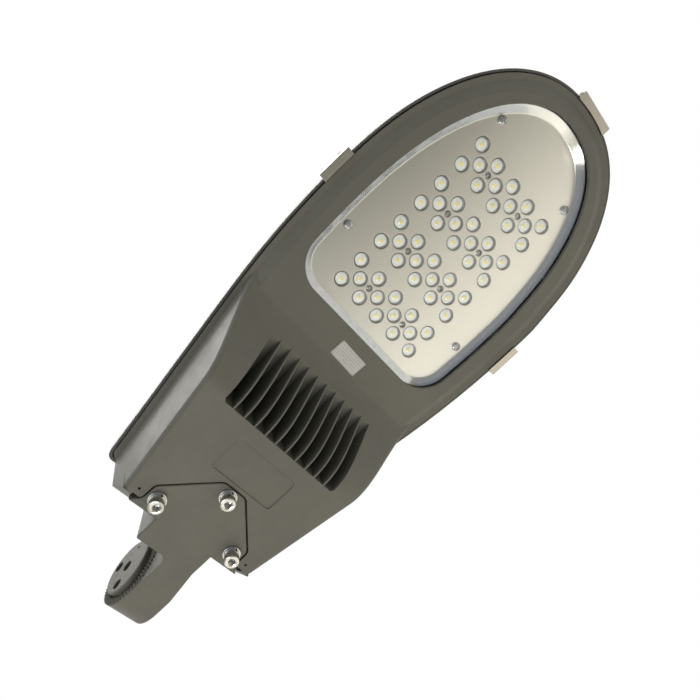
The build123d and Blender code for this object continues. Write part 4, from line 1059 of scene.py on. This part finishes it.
@dataclass
class LightModules:
    """Four boards, each with fourteen packages under moulded lenses."""

    bench: Bench
    count: int = 4
    long_row: int = 5
    flange_radius: float = 6.7 * MM
    flange: float = 1.3 * MM
    body_radius: float = 6.15 * MM
    shoulder: float = 2.9 * MM
    height: float = 6.2 * MM
    pocket_radius: float = 5.5 * MM
    pocket: float = 1.5 * MM
    lens_steps: int = 28
    dish_radius: float = 4.3 * MM
    dish: float = 0.35 * MM
    package: float = 3.5 * MM
    die_radius: float = 1.4 * MM
    die_rise: float = 0.45 * MM
    corner: float = 0.2 * MM
    body_corner: float = 0.15 * MM
    crown_steps: int = 8
    package_edge: float = 0.12 * MM
    dish_start: float = 0.45
    dish_lip: float = 0.1 * MM
    die_thick: float = 0.3 * MM
    die_inset: float = 0.35 * MM
    die_crown: float = 0.12 * MM
    die_edge: float = 0.06 * MM

    def spots(self, module: int) -> list[Vector]:
        """Where the module's lights are, at the board's face.

        Args:
            module: The module's number, from 1.

        Returns:
            The places.
        """
        low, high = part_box(f"lens_set_{module}")
        radius = (high.x - low.x) / 2 - self._row_step(low, high)
        middle_x = (low.x + high.x) / 2
        step_y = (high.y - low.y - 2 * radius) / (self.long_row - 1)
        places = []
        for row in (1, 0, -1):
            lights = self.long_row - (row == 0)
            first_y = -(lights - 1) / 2 * step_y
            x = middle_x + row * self._row_step(low, high)
            places += [Vector((x, first_y + i * step_y, high.z)) for i in range(lights)]
        return places

    def _row_step(self, low: Vector, high: Vector) -> float:
        """Distance between rows of lights: half that between lights in a row."""
        rows, lights = 2, 2 * (self.long_row - 1)
        return ((high.y - low.y) - (high.x - low.x)) / (lights - rows)

    def lens_mesh(self) -> Mesh:
        """The lens with its pocket closed over the package.

        Returns:
            One lens below the origin.
        """
        flat = self.flange_radius - self.corner
        outline = [(0.0, -self.pocket), (self.pocket_radius * 0.55, -self.pocket * 0.88),
                   (self.pocket_radius * 0.9, -self.pocket * 0.5), (self.pocket_radius, 0.0),
                   (flat, 0.0), (self.flange_radius, -self.corner),
                   (self.flange_radius, -self.flange + self.corner), (flat, -self.flange),
                   (self.body_radius + self.body_corner, -self.flange),
                   (self.body_radius, -self.flange - self.body_corner),
                   (self.body_radius, -self.shoulder)]
        crown = self.height - self.shoulder
        for step in range(1, self.crown_steps + 1):
            angle = step / self.crown_steps * pi / 2
            outline.append((self.body_radius * cos(angle),
                            -self.shoulder - crown * cos(pi / 2 - angle)))
        outline[-1] = (0.0, -self.height)
        return spun(outline, ORIGIN, self.lens_steps, closed=False)

    def package_mesh(self) -> Mesh:
        """One ceramic package, its edges bevelled.

        Returns:
            The package below the origin.
        """
        mesh = bmesh.new()
        size = Matrix.Diagonal((self.package, self.package, self.die_rise, 1.0))
        drop = Matrix.Translation((0.0, 0.0, -self.die_rise / 2))
        bmesh.ops.create_cube(mesh, size=1.0, matrix=drop @ size)
        eased(mesh, mesh.edges[:], self.package_edge)
        return mesh

    def dish_mesh(self) -> Mesh:
        """One shallow white dish on the board, round the package.

        Returns:
            The dish below the origin.
        """
        low = self.package * self.dish_start
        outline = [(low, 0.0), (self.dish_radius, 0.0), (self.dish_radius, -self.dish * 0.6),
                   (self.dish_radius - self.dish * 0.4, -self.dish), (low, -self.dish_lip)]
        return spun(outline, ORIGIN, self.lens_steps)

    def die_mesh(self) -> Mesh:
        """One domed square of phosphor under the package.

        Returns:
            The phosphor below the package's face.
        """
        mesh = bmesh.new()
        size = Matrix.Diagonal((2 * self.die_radius, 2 * self.die_radius, self.die_thick, 1.0))
        drop = Matrix.Translation((0.0, 0.0, -self.die_rise - self.die_thick / 2))
        bmesh.ops.create_cube(mesh, size=1.0, matrix=drop @ size)
        low = [face for face in mesh.faces if face.normal.z < -0.5]
        bmesh.ops.inset_region(mesh, faces=low, thickness=self.die_inset, depth=self.die_crown)
        eased(mesh, mesh.edges[:], self.die_edge)
        return mesh

    def build(self) -> None:
        """Builds lenses, packages and dies, and dresses the boards."""
        for number in range(1, self.count + 1):
            places = self.spots(number)
            lenses = copied(self.lens_mesh(), places)
            self.bench.piece(lenses, f"lenses_{number}", "lens_acrylic", Body.HOUSING, Slot.LENS,
                             (f"lens_set_{number}",))
            # Dishes and packages glow with painted light, so they read bright through the lenses.
            dishes = copied(self.dish_mesh(), places)
            self.bench.piece(dishes, f"dishes_{number}", "package_ceramic_painted_glow", Body.HOUSING,
                             Slot.BOARD, smooth_angle=60.0)
            packages = copied(self.package_mesh(), places)
            self.bench.piece(packages, f"packages_{number}", "package_ceramic_painted_glow", Body.HOUSING,
                             Slot.BOARD, smooth_angle=60.0)
            # The phosphor glows with painted light.
            dies = copied(self.die_mesh(), places)
            self.bench.piece(dies, f"phosphor_{number}", "phosphor_painted_glow", Body.HOUSING,
                             Slot.PHOSPHOR, (f"led_chips_{number}",))
            # The boards take the grey finish: painted shade seen through the lenses' rims.
            self.bench.dress("solder_mask_painted_shade", f"led_board_{number}")


@dataclass
class CrossScrews:
    """Pan head screws with a cross recess, standing for one node of screws."""

    bench: Bench
    node: str
    head_radius: float
    head_height: float
    shank_radius: float
    cells: int = 12
    bar: int = 1
    reach: int = 4
    recess: float = 0.55
    rim_share: float = 0.45
    wall_share: float = 0.05
    tip: float = 0.4 * MM
    steps: int = 24

    def head(self) -> Mesh:
        """One head, its crown toward -Z.

        Returns:
            The head hanging below the origin.
        """
        mesh = bmesh.new()
        bmesh.ops.create_grid(mesh, x_segments=self.cells, y_segments=self.cells,
                              size=self.head_radius)
        cross = [face for face in mesh.faces if self._in_cross(face)]
        for vert in mesh.verts:
            x, y = (part / self.head_radius for part in vert.co.xy)
            vert.co.x = self.head_radius * x * (1 - y * y / 2) ** 0.5
            vert.co.y = self.head_radius * y * (1 - x * x / 2) ** 0.5
            share = min(1.0, vert.co.xy.length / self.head_radius)
            crown = (1 - self.rim_share) * (1 - share ** 2) ** 0.5
            vert.co.z = -self.head_height * (self.rim_share + crown)
        bmesh.ops.inset_region(mesh, faces=cross, thickness=self.head_radius * self.wall_share)
        depth = self.recess * self.head_height
        floor = {vert for face in cross for vert in face.verts}
        bmesh.ops.translate(mesh, vec=(0.0, 0.0, depth), verts=list(floor))
        rim = [edge for edge in mesh.edges if edge.is_boundary]
        walls = bmesh.ops.extrude_edge_only(mesh, edges=rim)["geom"]
        for vert in (item for item in walls if isinstance(item, bmesh.types.BMVert)):
            vert.co.z = 0.0
        rim = [edge for edge in mesh.edges if edge.is_boundary]
        bmesh.ops.contextual_create(mesh, geom=rim)
        bmesh.ops.recalc_face_normals(mesh, faces=mesh.faces)
        return mesh

    def _in_cross(self, face: bmesh.types.BMFace) -> bool:
        """Whether a face of the flat grid belongs to the cross.

        Args:
            face: A face of the grid.

        Returns:
            True inside either bar of the cross.
        """
        cell = 2 * self.head_radius / self.cells
        middle = face.calc_center_median()
        x, y = abs(middle.x) / cell, abs(middle.y) / cell
        return min(x, y) < self.bar and max(x, y) < self.reach

    def build(self) -> None:
        """Builds heads and shanks at every spot."""
        low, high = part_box(self.node)
        seat = low.z + self.head_height
        moves = [Vector((x, y, seat)) for x, y in island_spots(self.bench.nodes[self.node])]
        self.bench.piece(copied(self.head(), moves), self.node + "_heads", "zinc_plate",
                         Body.HOUSING, Slot.ZINC, (self.node,), 30.0)
        length = high.z - seat
        shank = spun([(0.0, 0.0), (self.shank_radius, 0.0), (self.shank_radius, length - self.tip),
                      (self.shank_radius - self.tip, length), (0.0, length)],
                     ORIGIN, self.steps, closed=False)
        self.bench.piece(copied(shank, moves), self.node + "_shanks", "zinc_plate", Body.HOUSING,
                         Slot.ZINC)


@dataclass
class ReflectorUnit:
    """The pressed panel round the lenses, its screws and the heat sink behind.

    Each kind of screw has its head's radius, its head's height and its shank's radius.
    """

    bench: Bench
    screws: dict[str, tuple[float, float, float]] = field(default_factory=lambda: {
        "panel_screws": (4.4 * MM, 2.6 * MM, 2.0 * MM),
        "board_screws": (2.75 * MM, 2.0 * MM, 1.5 * MM)})

    def build(self) -> None:
        """Dresses the panel and the heat sink, and builds the screws that show."""
        self.bench.dress("pressed_reflector", "reflector_panel")
        for node, (head_radius, head_height, shank_radius) in self.screws.items():
            CrossScrews(self.bench, node, head_radius, head_height, shank_radius).build()
        self.bench.dress("zinc_plate", "heat_sink_screws")
        self.bench.dress("milled_aluminium", "heat_sink")


@dataclass
class ArmHardware:
    """The arm's three socket head bolts with their washers."""

    bench: Bench
    head_radius: float = 6.5 * MM
    head_height: float = 8.0 * MM
    head_edge: float = 0.7 * MM
    top_edge: float = 0.7 * MM / 3
    shank_radius: float = 4.0 * MM
    socket_flats: float = 6.0 * MM
    socket_depth: float = 4.2 * MM
    mouth_ratio: float = 1.16
    mouth_depth: float = 0.35 * MM
    drill_point: float = 0.5 * MM
    washer_radius: float = 8.0 * MM
    washer_hole: float = 4.2 * MM
    spring_radius: float = 6.9 * MM
    spring_turn: float = radians(346)
    spring_rise: float = 0.25 * MM
    flat_ease: float = 0.25 * MM
    spring_ease: float = 0.3 * MM
    steps: int = 48

    def spots(self) -> list[tuple[float, float]]:
        """Where the bolts stand in plan.

        Returns:
            The places.
        """
        low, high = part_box("arm_bolts")
        rear, front = low.x + self.head_radius, high.x - self.head_radius
        side = high.y - self.head_radius
        return [(rear, side), (rear, -side), (front, 0.0)]

    def bolt(self) -> Mesh:
        """One bolt, pointing up.

        Returns:
            The bolt, its head's face at the origin.
        """
        mesh = bmesh.new()
        bmesh.ops.create_cone(mesh, cap_ends=True, cap_tris=False, segments=self.steps,
                              radius1=self.head_radius, radius2=self.head_radius,
                              depth=self.head_height,
                              matrix=Matrix.Translation((0.0, 0.0, self.head_height / 2)))
        face = min(mesh.faces, key=lambda f: f.calc_center_median().z)
        top = max(mesh.faces, key=lambda f: f.calc_center_median().z)
        eased(mesh, list(face.edges), self.head_edge, 4)
        eased(mesh, list(top.edges), self.top_edge)
        self._socket(mesh)
        self._shank(mesh)
        return mesh

    def _socket(self, mesh: Mesh) -> None:
        """Sinks the hexagonal socket into the head's face.

        Args:
            mesh: The bolt so far.
        """
        face = min(mesh.faces, key=lambda f: f.calc_center_median().z)
        reach = self.socket_flats / 2 / cos(pi / 6)
        mouth = reach * self.mouth_ratio
        outer = self.head_radius - self.head_edge
        bmesh.ops.inset_region(mesh, faces=[face], thickness=outer - mouth)
        face = self._disc(mesh, min)
        bmesh.ops.inset_region(mesh, faces=[face], thickness=mouth - reach)
        face = self._disc(mesh, min)
        half = self.socket_flats / 2
        for vert in face.verts:
            angle = Vector((vert.co.x, vert.co.y)).angle_signed(Vector((1.0, 0.0)))
            turn = (angle % (pi / 3)) - pi / 6
            length = half / cos(turn)
            plan = Vector((vert.co.x, vert.co.y)).normalized() * length
            vert.co = (plan.x, plan.y, self.mouth_depth)
        moved = bmesh.ops.extrude_discrete_faces(mesh, faces=[face])["faces"][0]
        bmesh.ops.translate(mesh, vec=(0.0, 0.0, self.socket_depth), verts=moved.verts)
        bmesh.ops.poke(mesh, faces=[moved], offset=-self.drill_point)

    @staticmethod
    def _disc(mesh: Mesh, choose: Callable) -> bmesh.types.BMFace:
        """The lowest or highest face whose middle is on the axis.

        Args:
            mesh: The bolt so far.
            choose: min for the lowest, max for the highest.

        Returns:
            The face.
        """
        middle = [face for face in mesh.faces if face.calc_center_median().xy.length < ON_AXIS]
        return choose(middle, key=lambda face: face.calc_center_median().z)

    def _shank(self, mesh: Mesh) -> None:
        """Adds the shank, sunk into the head's upper face.

        Args:
            mesh: The bolt so far.
        """
        low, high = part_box("arm_bolts")
        length = high.z - low.z - self.head_height
        seat = max(mesh.faces, key=lambda f: f.calc_center_median().z)
        bmesh.ops.inset_region(mesh, faces=[seat],
                               thickness=self.head_radius - self.top_edge - self.shank_radius)
        top = bmesh.ops.extrude_discrete_faces(mesh, faces=[self._disc(mesh, max)])["faces"][0]
        bmesh.ops.translate(mesh, vec=(0.0, 0.0, length), verts=top.verts)

    def ring(self, radius: float, thick: float, ease: float) -> list[tuple[float, float]]:
        """Half the section of a washer, its corners eased.

        Args:
            radius: Outer radius.
            thick: Thickness.
            ease: Width of the eased corners.

        Returns:
            Radius and height of each point.
        """
        hole = self.washer_hole
        return [(hole, ease), (hole + ease, 0.0), (radius - ease, 0.0), (radius, ease),
                (radius, thick - ease), (radius - ease, thick), (hole + ease, thick),
                (hole, thick - ease)]

    def flat_washer(self) -> Mesh:
        """One washer, its corners eased.

        Returns:
            The washer on the origin.
        """
        low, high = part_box("arm_flat_washers")
        outline = self.ring(self.washer_radius, high.z - low.z, self.flat_ease)
        return spun(outline, ORIGIN, self.steps)

    def spring_washer(self) -> Mesh:
        """One split washer, its ends a little apart in height.

        Returns:
            The washer on the origin.
        """
        low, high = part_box("arm_spring_washers")
        thick = high.z - low.z - self.spring_rise
        mesh = bmesh.new()
        outline = self.ring(self.spring_radius, thick, self.spring_ease)
        verts = [mesh.verts.new((radius, 0.0, height)) for radius, height in outline]
        face = mesh.faces.new(verts)
        bmesh.ops.spin(mesh, geom=[face], cent=ORIGIN, axis=UPRIGHT,
                       dvec=(0.0, 0.0, self.spring_rise / self.steps),
                       angle=self.spring_turn, steps=self.steps, use_merge=False)
        bmesh.ops.recalc_face_normals(mesh, faces=mesh.faces)
        return mesh

    def build(self) -> None:
        """Builds bolts and washers, and dresses the arm."""
        self.bench.dress("warm_grey_powder_coat", "mounting_arm")
        for name, mesh, node in (
            ("socket_bolts", self.bolt(), "arm_bolts"),
            ("flat_washers", self.flat_washer(), "arm_flat_washers"),
            ("spring_washers", self.spring_washer(), "arm_spring_washers"),
        ):
            low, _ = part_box(node)
            moves = [Vector((x, y, low.z)) for x, y in self.spots()]
            self.bench.piece(copied(mesh, moves), name, "polished_stainless", Body.HOUSING,
                             Slot.STAINLESS, (node,), 32.0)


@dataclass
class CableEntry:
    """The nylon gland at the back of the driver box."""

    bench: Bench
    edge: float = 0.5 * MM

    def build(self) -> None:
        """Rounds the gland and its nut and dresses the seal."""
        self.bench.softened("cable_gland", self.edge, "black_nylon", Body.HOUSING, Slot.NYLON)
        self.bench.softened("gland_locknut", self.edge, "black_nylon", Body.HOUSING, Slot.NYLON)
        self.bench.dress("black_silicone", "gland_seal")


@dataclass
class DriverBay:
    """What stands in the driver box."""

    bench: Bench
    edge: float = 0.6 * MM

    def build(self) -> None:
        """Rounds the cases and dresses the small pieces."""
        self.bench.softened("led_driver", self.edge, "anodised_case", Body.HOUSING, Slot.DRIVER)
        self.bench.softened("terminal_block", self.edge / 2, "light_nylon", Body.HOUSING,
                            Slot.PLASTIC)
        self.bench.dress("blue_case", "surge_protector")
        self.bench.dress("plated_brass", "terminal_screws")
        self.bench.dress("zinc_plate", "driver_screws", "earth_screw")


# --------------------------------------------------------------------- studio
@dataclass
class SoftLight:
    """A large rectangular light."""

    name: str
    place: Point
    size: tuple[float, float]
    power: float
    colour: Colour = (1.0, 1.0, 1.0)
    aim: Point = (0.3, 0.0, 0.0)

    def build(self) -> None:
        """Makes the light and points it at the lamp head."""
        data = bpy.data.lights.new(self.name, "AREA")
        data.shape = "RECTANGLE"
        data.size, data.size_y = self.size
        data.energy = self.power
        data.color = self.colour
        light = bpy.data.objects.new(self.name, data)
        bpy.context.scene.collection.objects.link(light)
        away = Vector(self.place) - Vector(self.aim)
        light.matrix_world = (Matrix.Translation(self.place)
                              @ away.to_track_quat("Z", "Y").to_matrix().to_4x4())


@dataclass
class GradedCard:
    """A big glowing card under the lamp head, dark on one side and bright on the other."""

    name: str = "graded_card"
    low: Point = (-1.7, -2.3, -1.35)
    high: Point = (2.6, 2.6, -1.35)
    strength: float = 1.0
    stops: tuple[tuple[float, Colour], ...] = (
        (-2.3, (0.17, 0.185, 0.22)),
        (-0.55, (0.16, 0.18, 0.215)),
        (-0.1, (0.17, 0.17, 0.165)),
        (0.18, (0.21, 0.20, 0.165)),
        (0.5, (0.74, 0.70, 0.60)),
        (0.85, (1.45, 1.36, 1.20)),
        (2.6, (1.15, 1.1, 1.0)),
    )

    def build(self) -> None:
        """Makes the card, hidden from the camera."""
        material = bpy.data.materials.new(self.name)
        material.use_nodes = True
        sheet = NodeSheet(material.node_tree)
        across = sheet.add("SeparateXYZ", {"Vector": sheet.place()}).outputs["Y"]
        colour: object = self.stops[0][1]
        for (start, _), (end, tint) in zip(self.stops, self.stops[1:]):
            colour = sheet.blend(sheet.between(across, start, end, smooth=False), colour, tint)
        glow = sheet.add("Emission", {"Color": colour, "Strength": self.strength})
        sheet.show(glow.outputs["Emission"])
        mesh = bmesh.new()
        middle = (Vector(self.low) + Vector(self.high)) / 2
        size = Vector(self.high) - Vector(self.low)
        bmesh.ops.create_grid(mesh, x_segments=1, y_segments=1, size=0.5)
        bmesh.ops.scale(mesh, vec=(size.x, size.y, 1.0), verts=mesh.verts)
        bmesh.ops.translate(mesh, vec=middle, verts=mesh.verts)
        card = stood(mesh, self.name, material)
        card.visible_camera = False
        card.visible_shadow = False


@dataclass
class Studio:
    """Floor, backdrop, lights and camera."""

    floor_depth: float = 2.4
    floor_half: float = 40.0
    camera_place: Point = (0.3198, -0.1837, -0.4547)
    camera_right: Point = (0.726, 0.657, -0.202)
    camera_up: Point = (0.685, -0.663, 0.304)
    floor_tones: tuple[Colour, Colour] = ((0.86, 0.86, 0.855), (0.9, 0.9, 0.895))
    floor_roughness: float = 0.9
    world_tones: tuple[Colour, Colour] = ((0.50, 0.49, 0.48), (1.0, 1.0, 1.0))
    world_strength: float = 0.85
    lens: float = 28.29
    sensor: float = 36.0
    lights: tuple[SoftLight, ...] = (
        SoftLight("key_light", (-0.33, 0.08, -1.25), (0.3, 0.3), 3.0, (1.0, 0.985, 0.95)),
        SoftLight("fill_light", (-0.5, -1.2, -0.5), (1.0, 1.0), 3.0, (0.93, 0.93, 1.0)),
        SoftLight("top_light", (0.1, -0.5, 1.5), (1.6, 1.2), 22.0, (1.0, 0.99, 0.97)),
    )
    card: GradedCard = field(default_factory=GradedCard)

    def build(self) -> None:
        """Sets up everything round the lamp head."""
        self._world()
        self._floor()
        for light in self.lights:
            light.build()
        self.card.build()
        self._camera()
        view = bpy.context.scene.view_settings
        view.view_transform = "Standard"
        view.look = "None"

    def _world(self) -> None:
        """A white surround for the camera and a slightly graded one for the light."""
        world = bpy.data.worlds.new("white_surround")
        bpy.context.scene.world = world
        world.use_nodes = True
        sheet = NodeSheet(world.node_tree)
        height = sheet.add("SeparateXYZ",
                           {"Vector": sheet.add("TexCoord").outputs["Generated"]}).outputs["Z"]
        share = sheet.between(height, -0.5, 0.6)
        glow = sheet.blend(share, *self.world_tones)
        around = sheet.add("Background", {"Color": glow, "Strength": self.world_strength})
        seen = sheet.add("Background", {"Color": (1.0, 1.0, 1.0), "Strength": 1.0})
        camera_ray = sheet.add("LightPath").outputs["Is Camera Ray"]
        mix = sheet.add("MixShader", {"Fac": camera_ray, 1: around.outputs["Background"],
                                      2: seen.outputs["Background"]})
        sheet.show(mix.outputs["Shader"], "OutputWorld")

    def _floor(self) -> None:
        """A pale floor far below the lamp head."""
        material = bpy.data.materials.new("pale_floor")
        material.use_nodes = True
        sheet = NodeSheet(material.node_tree)
        place = sheet.place()
        tone = sheet.blend(sheet.noise(place, 1.5, 2.0), *self.floor_tones)
        shader = sheet.add("BsdfPrincipled",
                           {"Base Color": tone, "Roughness": self.floor_roughness})
        sheet.show(shader.outputs["BSDF"])
        mesh = bmesh.new()
        bmesh.ops.create_grid(mesh, x_segments=1, y_segments=1, size=self.floor_half)
        bmesh.ops.translate(mesh, vec=(0.0, 0.0, -self.floor_depth), verts=mesh.verts)
        stood(mesh, "floor", material)

    def _camera(self) -> None:
        """A camera below the lamp head, looking up at its window."""
        data = bpy.data.cameras.new("camera")
        data.lens = self.lens
        data.sensor_width = self.sensor
        data.clip_start = 0.01
        camera = bpy.data.objects.new("camera", data)
        bpy.context.scene.collection.objects.link(camera)
        right = Vector(self.camera_right).normalized()
        back = right.cross(Vector(self.camera_up)).normalized()
        up = back.cross(right)
        turn = Matrix((right, up, back)).transposed().to_4x4()
        camera.matrix_world = Matrix.Translation(self.camera_place) @ turn
        bpy.context.scene.camera = camera


def main() -> None:
    """Builds and dresses every sub-assembly in order."""
    logging.basicConfig(level=logging.INFO, format="%(name)s: %(message)s")
    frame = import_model()
    finishes = FinishRack(EffectShelf())
    bench = Bench(frame, finishes)
    for maker in (CastHousing, HingedCover, ToggleClips, GlassWindow, LightModules,
                  ReflectorUnit, ArmHardware, CableEntry, DriverBay):
        LOG.info("making %s", maker.__name__)
        maker(bench).build()
    Studio().build()


if __name__ == "__main__":
    main()
